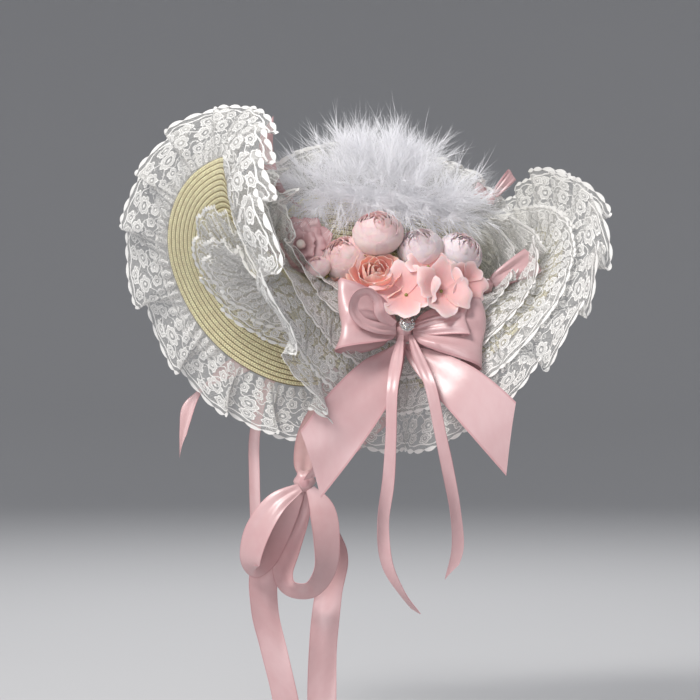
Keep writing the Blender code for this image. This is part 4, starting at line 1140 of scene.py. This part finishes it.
def make_rose(coral, green):
    """An open rose, whose wide outer petals curl down at the rim round tighter rings, and a smaller one beside it."""
    name, back, up, out, size, azimuth, elevation = ROSE
    centre = trim_place(back, up, out)
    axes = flower_axes(azimuth, elevation, 0.4)
    bodies = petal_rings(centre, axes, size * MM, ROSE_RINGS, 0.8, 300, 0.035, 0.22, (13, 11))
    greens = [stem_body(name, centre, axes[2], -0.45 * size * MM)]
    back, up, out, size, azimuth, elevation = SIDE_ROSE
    axes = flower_axes(azimuth, elevation, 1.1)
    bodies += petal_rings(trim_place(back, up, out), axes, size * MM, ROSE_RINGS[:5], 0.8, 320, 0.05, 0.22, (11, 9))
    link_piece("coral_rose", [(bodies, coral), (greens, green)], [name])


def make_blossoms(pink, green):
    """Small blossoms with four round petals, slightly cupped, round a small green heart."""
    for index, (name, back, up, out, size, azimuth, elevation) in enumerate(BLOSSOMS):
        centre = trim_place(back, up, out)
        axes = flower_axes(azimuth, elevation, 1.1 * index + 0.4)
        radius = size * MM
        pairs = [petal_ring(centre + axes[2] * 0.6 * pair * MM, axes, radius * (1.12 - 0.04 * pair), 2, 50,
                            BLOSSOM_PETAL, 0.5 * np.pi * pair, 500 + 10 * index + pair, 0.09, 0.30, grid=(15, 13),
                            dent=0.1)
                 for pair in range(2)]
        heart = ball_body(centre + axes[2] * 1.2 * MM, [axis * 1.5 * MM for axis in axes], 8, 12)
        greens = [heart, stem_body(name, centre, axes[2], -0.1 * radius)]
        link_piece(f"blossom_{index + 1}", [(pairs, pink), (greens, green)], [name])


def make_rosette(satin, pearl, metal):
    """A gathered satin rosette in three waved tiers, with a pearl at its heart in a metal cup."""
    name, back, up, out, size, azimuth, elevation = ROSETTE
    centre = trim_place(back, up, out)
    axes = flower_axes(azimuth, elevation, 0.2)
    bodies = petal_rings(centre, axes, size * MM, ROSETTE_RINGS, 0.6, 700, 0.05, 0.18, (15, 11))
    area = sum(cloth_area(body) for body in bodies)
    bodies.append(stem_body(name, centre, axes[2], -0.2 * size * MM))
    rosette = link_piece("satin_rosette", [(bodies, satin)], [name])
    low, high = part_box("rosette_pearl")
    middle = centre + axes[2] * PEARL_LIFT * size * MM
    radius = np.array(high - low).mean() / 2
    pearl_body = ball_body(middle, [axis * radius for axis in axes], 18, 28)
    cup_axes = [axes[0] * radius, axes[1] * radius, axes[2] * 0.35 * radius]
    cup = ball_body(middle - axes[2] * 0.9 * radius, cup_axes, 8, 20)
    link_piece("heart_pearl", [([pearl_body], pearl), ([cup], metal)], ["rosette_pearl"])


def pleated(middle, offset):
    """A surface whose points move along its own normal by an offset."""
    return middle + grid_normal(middle[None])[0] * offset[..., None]


def ribbon_cloth(centre, width, edge, place, full, wide, pleat, cup, fade, seed):
    """A ribbon's surface, its cloth map, its width and its length, from its centres, width directions and widths in
    mm. Two pleats across it are cosines that fade from the knot, or with a negative fade from the far end."""
    middle = centre + width * (wide * edge / 2)[..., None] * MM
    wrinkle = waver(place * 0.5 + edge * 0.07, seed, (2, 3), edge) * 0.35
    near = place if fade > 0 else 1 - place
    offset = pleat * np.cos(2 * np.pi * edge + seed) * np.exp(-abs(fade) * near) * (near / 0.06).clip(0, 1)
    offset = offset + cup * (1 - edge**2) * np.sin(np.pi * place.clip(0, 1)) + wrinkle * (place / 0.2).clip(0, 1)
    middle = pleated(middle, offset * MM)
    length = run_length(middle[:, middle.shape[1] // 2])
    cloth = np.stack(np.broadcast_arrays(length[:, None], edge * full / 2), axis=-1)
    return middle, cloth, full, length[-1]


def ribbon_grid(origin, rows, size, slant, pleat, cup, seed, fade=6.0):
    """A ribbon's middle surface. Its centre runs through table rows of back, up, out, width, lean and turn, its width
    lies along the lean in the trim's plane and turns out of it. A slant cuts the end off at an angle, and a cup bends
    the ribbon across."""
    rows = np.array([(*row, 0)[:6] for row in rows], float)
    along, edge = strip_grid(size)
    trim = abs(slant) * (1 - edge * np.sign(slant or 1)) / 2
    place = along * (1 - trim)
    run = curve_through(rows, place)
    lean, turn = np.radians(run[..., 4]), np.radians(run[..., 5])
    level = BACKWARD * np.cos(lean)[..., None] + UPWARD * np.sin(lean)[..., None]
    width = level * np.cos(turn)[..., None] + OUTWARD * np.sin(turn)[..., None]
    centre = origin + trim_place(run[..., 0:1], run[..., 1:2], run[..., 2:3])
    full = rows[:, 3].max() * MM
    return ribbon_cloth(centre, width, edge, place, full, run[..., 3], pleat, cup, fade, seed)


def link_ribbon(node, grid, satin):
    """A ribbon as a satin piece that stands for a node; the area it was cut to is worked out but not used."""
    middle, cloth, width, length = grid
    body = sheet_body(middle, cloth, RIBBON, np.abs(cloth[..., 1]) / (width / 2))
    piece = link_piece(f"satin_{node}", [([body], satin)], [node])
    cut = min(max(cloth_area(body) / 0.97, 0.31 * width * length), width * length)


def knot_centre(node):
    """The middle of a knot's box."""
    low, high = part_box(node)
    return np.array((low + high) / 2)


def knot_foot(centre, axes, size, foot):
    """Where a ribbon leaves a knot's rounded face, a little off it."""
    reach = MM / math.sqrt(sum((part / half) ** 2 for part, half in zip(foot, size)))
    start = centre + sum(axis * part * reach for axis, part in zip(axes, foot))
    normal = unit(sum(axis * part / half**2 for axis, part, half in zip(axes, foot, size)))
    return start + normal * 0.72 * MM


def brim_axes(azimuth, share):
    """Across, up and out directions of a bow that lies on the brim."""
    out = brim_frame(np.radians([azimuth]), share)[1][0]
    across = unit(np.cross(UPWARD, out))
    return across, np.cross(out, across), out


def bow_axes(kind, first, second):
    """A bow's axes: it lies on the brim at an azimuth and share of its width, or faces an azimuth and elevation."""
    return brim_axes(first, second) if kind == "brim" else facing(first, second)


def link_knot(node, centre, axes, size, satin):
    """A knot: a rounded body with creases that run over it from side to side."""

    def swell(turn, rise):
        return 1 + 0.09 * np.cos(6 * turn + 0.8 * np.sin(2 * rise)) * np.sin(rise) - 0.05 * np.cos(3 * rise) ** 2

    stretched = [axis * half * MM for axis, half in zip(axes, size)]
    body = ball_body(centre, stretched, 16, 30, swell)
    link_piece(f"satin_{node}", [([body], satin)], [node])


def loop_grid(row, centre, axes, size, seed, pleat=0.052):
    """A bow loop: the ribbon leaves the knot, puffs, turns over at its far end and comes back behind itself. Pleats
    run out from the knot and fade towards the turn, with a height that is a share of the full width."""
    lean, rise, length, depth, knot_width, full_width = row
    across, up, out = axes
    lean, rise = math.radians(lean), math.radians(rise)
    level = across * math.cos(lean) + up * math.sin(lean)
    side = up * math.cos(lean) - across * math.sin(lean)
    slim = math.sqrt(1 - (LOOP_SPREAD * depth / size[2]) ** 2)
    start = slim / math.hypot(math.cos(lean) / size[0], math.sin(lean) / size[1])
    start += LOOP_GAP + LOOP_SPREAD * depth * math.sin(rise)
    reach = level * math.cos(rise) + out * math.sin(rise)
    out = out * math.cos(rise) - level * math.sin(rise)
    turn, edge = strip_grid(LOOP_GRID)
    far = np.sin(np.pi * turn)
    ahead = start + length * far**0.85 * (1 + 0.05 * np.cos(2.2 * edge + seed) * far)
    lift = depth * np.cos(np.pi * turn) * (LOOP_SPREAD + (1 - LOOP_SPREAD) * np.sqrt(far))
    share = (knot_width + (full_width - knot_width) * np.sqrt(far)) / 2 * edge
    fade = (1 - far) ** 0.6 * far.clip(0.0, 0.3) / 0.3
    wave = np.cos(2.0 * np.pi * edge + 1.3 * seed) + 0.5 * np.cos(3.7 * np.pi * edge + seed)
    fold = pleat * full_width * wave * fade + 0.03 * full_width * np.sin(3.6 * edge + 5 * turn + seed) * far
    middle = centre + (ahead[..., None] * reach + lift[..., None] * out + share[..., None] * side) * MM
    middle = pleated(middle, fold * MM)
    run = run_length(middle[:, middle.shape[1] // 2])
    cloth = np.stack(np.broadcast_arrays(run[:, None], edge * full_width * MM / 2), axis=-1)
    return middle, cloth, full_width * MM, run[-1]


def open_loop_grid(origin, rows, seed):
    """A ribbon loop whose hole shows: the width stands at right angles to the run, turned out of the loop's plane."""
    place, edge = strip_grid(OPEN_LOOP_GRID)
    run = curve_through(rows, place)
    centre = origin + trim_place(run[..., 0:1], run[..., 1:2], run[..., 2:3])
    ahead = unit(np.gradient(centre, axis=0))
    turn = np.radians(run[..., 4])[..., None]
    width = unit(np.cross(OUTWARD, ahead)) * np.cos(turn) + OUTWARD * np.sin(turn)
    full = max(row[3] for row in rows) * MM
    return ribbon_cloth(centre, width, edge, place, full, run[..., 3], 0.8, 1.0, 4.0, seed)


def make_bows(satin, jewel, metal):
    """Every bow's loops and knot, the brooch on the big bow, and the loops whose hole shows."""
    for knot, kind, first, second, size, loops in BOWS:
        axes = bow_axes(kind, first, second)
        centre = knot_centre(knot)
        for index, (node, *row) in enumerate(loops):
            link_ribbon(node, loop_grid(row, centre, axes, size, 3.1 * index + first), satin)
        link_knot(knot, centre, axes, size, satin)
        if knot == "bow_knot":
            make_brooch(axes, jewel, metal)
    for index, (node, knot, rows) in enumerate(OPEN_LOOPS):
        link_ribbon(node, open_loop_grid(knot_centre(knot), rows, 50 + index), satin)


def cut_stone(centre, axes, radius, height, sides):
    """A cut stone: a flat table, two rows of facets down to the girdle and one to the point below."""
    across, up, out = axes
    turn = 2 * np.pi * np.arange(sides) / sides
    ring = np.stack([np.cos(turn), np.sin(turn)], axis=-1)
    half = np.stack([np.cos(turn + np.pi / sides), np.sin(turn + np.pi / sides)], axis=-1)
    rings = ((0.56 * ring, 0.42), (0.86 * half, 0.27), (ring, 0.0))
    local = np.concatenate([np.column_stack([radius * flat, np.full(sides, height * rise)]) for flat, rise in rings])
    local = np.concatenate([local, [[0, 0, -0.75 * height]]])
    points = np.asarray(centre) + local @ np.array([across, up, out])
    top, shoulder, girdle = np.arange(3 * sides).reshape(3, sides)
    ahead = np.roll(np.arange(sides), -1)
    triangles = np.concatenate([
        np.stack([top, shoulder, top[ahead]], axis=-1),
        np.stack([shoulder, girdle[ahead], top[ahead]], axis=-1),
        np.stack([girdle, girdle[ahead], shoulder], axis=-1),
        np.stack([top, girdle, shoulder], axis=-1),
        np.stack([girdle[ahead], girdle, np.full(sides, 3 * sides)], axis=-1),
    ])
    table = top[None]
    blank = np.zeros(2)
    tone = np.zeros(len(points))
    return points, [(triangles, np.broadcast_to(blank, (*triangles.shape, 2))),
                    (table, np.broadcast_to(blank, (*table.shape, 2)))], tone


def make_brooch(axes, jewel, metal):
    """The brooch: a round cut stone in a ring of small ones, each in a metal cup, on a round plate."""
    low, high = (np.array(corner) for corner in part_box("bow_brooch"))
    centre = (low + high) / 2
    across, up, out = axes

    def stone(place, rise, radius, height, sides):
        return cut_stone(place + out * rise * MM, axes, radius * MM, height * MM, sides)

    def cup(place, radius, half, sides):
        return ball_body(place, [across * radius * MM, up * radius * MM, out * half * MM], 8, sides)

    stones = [stone(centre, 1.0, *BROOCH_MIDDLE)]
    cups = [cup(centre - out * 1.2 * MM, *BROOCH_PLATE), cup(centre, *BROOCH_CUP)]
    for index in range(BROOCH_STONES):
        turn = 2 * math.pi * index / BROOCH_STONES
        place = centre + (across * math.cos(turn) + up * math.sin(turn)) * BROOCH_RING * MM
        stones.append(stone(place, 0.7, *BROOCH_SMALL))
        cups.append(cup(place, *BROOCH_SMALL_CUP))
    link_piece("brooch_stones", [(stones, jewel), (cups, metal)], ["bow_brooch"], crease=12)


def make_tails(satin):
    """The wide tails and narrow streamers that hang from the bows."""
    seats = {row[0]: row for row in BOWS}
    for index, (node, knot, foot, slant, pleat, rows) in enumerate(TAILS):
        _, kind, first, second, size, _ = seats[knot]
        origin = knot_foot(knot_centre(knot), bow_axes(kind, first, second), size, foot)
        link_ribbon(node, ribbon_grid(origin, rows, TAIL_GRID, slant, pleat, 0.7, index + 1), satin)


def make_front_ribbon(satin):
    """The small ribbon end that stands up at the front of the crown."""
    azimuth, height = math.radians(FRONT_RIBBON_SEAT[0]), FRONT_RIBBON_SEAT[1]
    origin = crown(azimuth, height) + crown_normal(azimuth, height) * (GAP + 1 * MM)
    link_ribbon("front_ribbon", ribbon_grid(origin, FRONT_RIBBON, END_GRID, 0.14, 0.8, 1.5, 4), satin)


def make_straps(satin):
    """The chin strap: two ribbons from inside the crown down round the cheeks to the chin knot."""
    place, edge = strip_grid(STRAP_GRID)
    for index, (node, rows) in enumerate(STRAPS):
        run = curve_through(rows, place)
        turn = np.radians(run[..., 3])
        width = worn(np.stack([np.cos(turn), np.sin(turn), np.zeros_like(turn)], axis=-1))
        centre = run[..., :3] * MM
        grid = ribbon_cloth(centre, width, edge, place, STRAP_RIBBON, run[..., 4], 1.6, 0.8, -5.0, 30 + index)
        link_ribbon(node, grid, satin)


def make_camera():
    """The camera at the photograph's angle."""
    camera = bpy.data.cameras.new("camera")
    camera.lens = CAMERA_LENS
    camera.clip_end = 50
    obj = bpy.data.objects.new("camera", camera)
    obj.location = OUTWARD * CAMERA_DISTANCE + BACKWARD * CAMERA_BACK + UPWARD * CAMERA_UP
    obj.rotation_euler = (math.pi / 2, 0, TRIM_AZIMUTH)
    bpy.context.scene.collection.objects.link(obj)
    bpy.context.scene.camera = obj


def make_light(name, azimuth, elevation, distance, size, power, colour):
    """A soft square light that looks at the hat."""
    light = bpy.data.lights.new(name, "AREA")
    light.size = size
    light.energy = power
    light.color = colour
    obj = bpy.data.objects.new(name, light)
    obj.location = facing(azimuth, elevation)[2] * distance + UPWARD * LIGHTS_AIM
    obj.rotation_euler = (math.radians(90 - elevation), 0, math.radians(azimuth))
    obj.visible_camera = False
    bpy.context.scene.collection.objects.link(obj)


def make_stage(tone):
    """A wide floor that curves up into a backdrop all round, with soft lights and a pale surrounding light."""
    rows, sides = 40, 96
    reach = np.linspace(0.0001, 1, rows)[:, None] * STAGE_RADIUS
    turn = np.linspace(0, 2 * np.pi, sides + 1)[None]
    rise = FLOOR + STAGE_RISE * ((reach - STAGE_FLAT) / (STAGE_RADIUS - STAGE_FLAT)).clip(0) ** 2
    grid = np.stack(np.broadcast_arrays(reach * np.cos(turn), reach * np.sin(turn), rise), axis=-1)
    body = sheet_body(grid[:, ::-1], grid[:, ::-1, :2], 2 * MM, ring=True)
    nodes = Nodes("stage", Roughness=0.9)
    cloud = nodes.noise(nodes.place(), 1.3)
    paper = nodes.finish(Base_Color=nodes.mix(cloud * 0.3, tone, tuple(0.9 * part for part in tone)))
    floor = new_object("floor", [([body], paper)])
    for row in LIGHTS:
        make_light(*row)
    world = bpy.data.worlds.new("surround")
    world.use_nodes = True
    world.node_tree.nodes["Background"].inputs[0].default_value = SURROUND
    world.node_tree.nodes["Background"].inputs[1].default_value = SURROUND_STRENGTH
    scene = bpy.context.scene
    scene.world = world
    scene.view_settings.view_transform = "Standard"
    make_camera()


def colour_property(name, description, default):
    """A colour that the user can change."""
    return bpy.props.FloatVectorProperty(
        name=name, description=description, default=default, subtype="COLOR", size=3, min=0.0, max=1.0)


def length_property(name, description, default, least, most):
    """A length that the user can change, given in millimetres."""
    return bpy.props.FloatProperty(name=name, description=description, default=default * MM, min=least * MM,
                                   max=most * MM, subtype="DISTANCE", unit="LENGTH")


class SunHatSizes(bpy.types.PropertyGroup):
    """Sizes of the hat's cloth, straw and feathers."""

    braid: length_property("Braid row", "Height of one sewn straw row", 4.4, 3, 9)
    scallop: length_property("Scallop", "Width of one scallop of the lace's hem", 6.5, 4, 12)
    lace_thickness: length_property("Lace thickness", "Thickness of the lace", 0.35, 0.2, 1)
    lace_rows: bpy.props.IntProperty(
        name="Lace rows", description="Rows of the mesh from the lace's base to its hem", default=13, min=8, max=16)
    plumes: bpy.props.IntProperty(
        name="Plumes", description="Plumes of the feather boa", default=260, min=100, max=300)
    barbs: bpy.props.IntProperty(
        name="Barbs", description="Barbs on each plume", default=46, min=20, max=50)


class SunHatColours(bpy.types.PropertyGroup):
    """Colours of the hat's materials."""

    straw: colour_property("Straw", "The straw's light tone", (1.0, 0.885, 0.56))
    # The colour of the painted shade in the straw's grooves and creases
    shaded_groove: colour_property("Groove", "The straw's dark grooves", (0.25, 0.19, 0.08))
    lace: colour_property("Lace", "The lace's thread", (0.84, 0.83, 0.81))
    # The colour of the painted shade on the lace's thin net and flower fills
    lace_net_shade: colour_property("Lace net", "The lace's thin net", (0.69, 0.68, 0.66))
    satin: colour_property("Satin", "The satin's face", (0.68, 0.46, 0.465))
    satin_deep: colour_property("Deep satin", "The satin in its folds", (0.56, 0.28, 0.30))
    down: colour_property("Down", "The feathers' tips", (0.93, 0.925, 0.95))
    coral: colour_property("Coral", "The rose's petals", (0.96, 0.40, 0.33))
    blush: colour_property("Blush", "The pale petals", (0.92, 0.71, 0.67))
    leaf: colour_property("Leaf", "The sepals and stems", (0.36, 0.36, 0.10))
    backdrop: colour_property("Backdrop", "The floor and backdrop", (0.52, 0.52, 0.53))


def shared(name, make, *colours):
    """A material by its name, made once."""
    return bpy.data.materials.get(name) or make(name, *colours)


def darker(colour, share):
    """A colour at a share of its brightness."""
    return tuple(share * part for part in colour)


class SUNHAT_OT_straw(bpy.types.Operator):
    """Sew the straw braid rows of the brim and crown"""

    bl_idname = "sun_hat.straw"
    bl_label = "Straw"
    bl_options = {"REGISTER", "UNDO"}

    def execute(self, context):
        sizes = context.scene.sun_hat_sizes
        colours = context.scene.sun_hat_colours
        make_straw(sizes, shared("sewn_straw", straw_material, tuple(colours.straw), tuple(colours.shaded_groove)))
        return {"FINISHED"}


class SUNHAT_OT_lace(bpy.types.Operator):
    """Gather the lace ruffles at the brim's edge, on the brim, under it and on the crown"""

    bl_idname = "sun_hat.lace"
    bl_label = "Lace"
    bl_options = {"REGISTER", "UNDO"}

    def execute(self, context):
        sizes = context.scene.sun_hat_sizes
        colours = context.scene.sun_hat_colours
        lace = shared("floral_lace", lace_material, tuple(colours.lace), tuple(colours.lace_net_shade))
        make_edge_lace(sizes, lace)
        for row in BRIM_LACE:
            make_brim_lace(row, sizes, lace)
        make_crown_lace(sizes, lace)
        return {"FINISHED"}


class SUNHAT_OT_down(bpy.types.Operator):
    """Lay the feather boa along the crown"""

    bl_idname = "sun_hat.down"
    bl_label = "Feather boa"
    bl_options = {"REGISTER", "UNDO"}

    def execute(self, context):
        sizes = context.scene.sun_hat_sizes
        colours = context.scene.sun_hat_colours
        make_down(sizes, shared("down", feather_material, darker(colours.down, 0.9), tuple(colours.down)))
        return {"FINISHED"}


class SUNHAT_OT_flowers(bpy.types.Operator):
    """Make the ranunculus buds, the coral rose and the small blossoms"""

    bl_idname = "sun_hat.flowers"
    bl_label = "Flowers"
    bl_options = {"REGISTER", "UNDO"}

    def execute(self, context):
        colours = context.scene.sun_hat_colours
        blush, coral = tuple(colours.blush), tuple(colours.coral)
        green = shared("leaf_green", leaf_material, tuple(colours.leaf), darker(colours.leaf, 0.5))
        warm = shared("warm_petal", petal_material, (0.84, 0.70, 0.48), blush, (0.91, 0.63, 0.61), (0.90, 0.57, 0.58))
        pale = shared("pale_petal", petal_material, (0.84, 0.76, 0.56), (0.91, 0.75, 0.71), (0.87, 0.68, 0.69),
                      (0.82, 0.64, 0.68))
        rose = shared("rose_petal", petal_material, darker(coral, 0.95), coral, (0.97, 0.52, 0.45),
                      (0.95, 0.64, 0.56))
        pink = shared("blossom_petal", petal_material, (0.80, 0.36, 0.34), (0.85, 0.43, 0.425), (0.90, 0.54, 0.535),
                      (0.93, 0.68, 0.68))
        make_buds(warm, pale, green)
        make_rose(rose, green)
        make_blossoms(pink, green)
        return {"FINISHED"}


class SUNHAT_OT_bows(bpy.types.Operator):
    """Tie the satin bows, with the rosette, its pearl and the brooch"""

    bl_idname = "sun_hat.bows"
    bl_label = "Bows"
    bl_options = {"REGISTER", "UNDO"}

    def execute(self, context):
        colours = context.scene.sun_hat_colours
        satin = shared("satin_weave", satin_material, tuple(colours.satin), tuple(colours.satin_deep))
        metal = metal_material((0.8, 0.78, 0.74))
        make_rosette(satin, pearl_material((0.9, 0.86, 0.78), (0.86, 0.6, 0.56)), metal)
        make_bows(satin, stone_material((0.95, 0.95, 0.97), (0.85, 0.9, 0.98)), metal)
        return {"FINISHED"}


class SUNHAT_OT_ribbons(bpy.types.Operator):
    """Hang the tails, streamers, front ribbon and chin strap"""

    bl_idname = "sun_hat.ribbons"
    bl_label = "Ribbons"
    bl_options = {"REGISTER", "UNDO"}

    def execute(self, context):
        colours = context.scene.sun_hat_colours
        satin = shared("satin_weave", satin_material, tuple(colours.satin), tuple(colours.satin_deep))
        make_tails(satin)
        make_front_ribbon(satin)
        make_straps(satin)
        return {"FINISHED"}


class SUNHAT_OT_stage(bpy.types.Operator):
    """Set up the floor, lights and camera"""

    bl_idname = "sun_hat.stage"
    bl_label = "Stage"
    bl_options = {"REGISTER", "UNDO"}

    def execute(self, context):
        colours = context.scene.sun_hat_colours
        make_stage(tuple(colours.backdrop))
        return {"FINISHED"}


STEPS = (SUNHAT_OT_straw, SUNHAT_OT_lace, SUNHAT_OT_down, SUNHAT_OT_flowers, SUNHAT_OT_bows, SUNHAT_OT_ribbons,
         SUNHAT_OT_stage)


class SUNHAT_PT_steps(bpy.types.Panel):
    """The hat's sizes, colours and steps"""

    bl_label = "Sun Hat"
    bl_space_type = "VIEW_3D"
    bl_region_type = "UI"
    bl_category = "Sun Hat"

    def draw(self, context):
        for group in (context.scene.sun_hat_sizes, context.scene.sun_hat_colours):
            box = self.layout.box()
            for name in group.__annotations__:
                box.prop(group, name)
        for step in STEPS:
            self.layout.operator(step.bl_idname)


CLASSES = (SunHatSizes, SunHatColours, *STEPS, SUNHAT_PT_steps)


def register():
    for each in CLASSES:
        bpy.utils.register_class(each)
    bpy.types.Scene.sun_hat_sizes = bpy.props.PointerProperty(type=SunHatSizes)
    bpy.types.Scene.sun_hat_colours = bpy.props.PointerProperty(type=SunHatColours)


def unregister():
    del bpy.types.Scene.sun_hat_colours
    del bpy.types.Scene.sun_hat_sizes
    for each in reversed(CLASSES):
        bpy.utils.unregister_class(each)


def main():
    """Builds the whole hat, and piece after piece."""
    register()
    bpy.ops.sun_hat.straw()
    bpy.ops.sun_hat.lace()
    bpy.ops.sun_hat.down()
    bpy.ops.sun_hat.flowers()
    bpy.ops.sun_hat.bows()
    bpy.ops.sun_hat.ribbons()
    bpy.ops.sun_hat.stage()


if __name__ == "__main__":
    main()
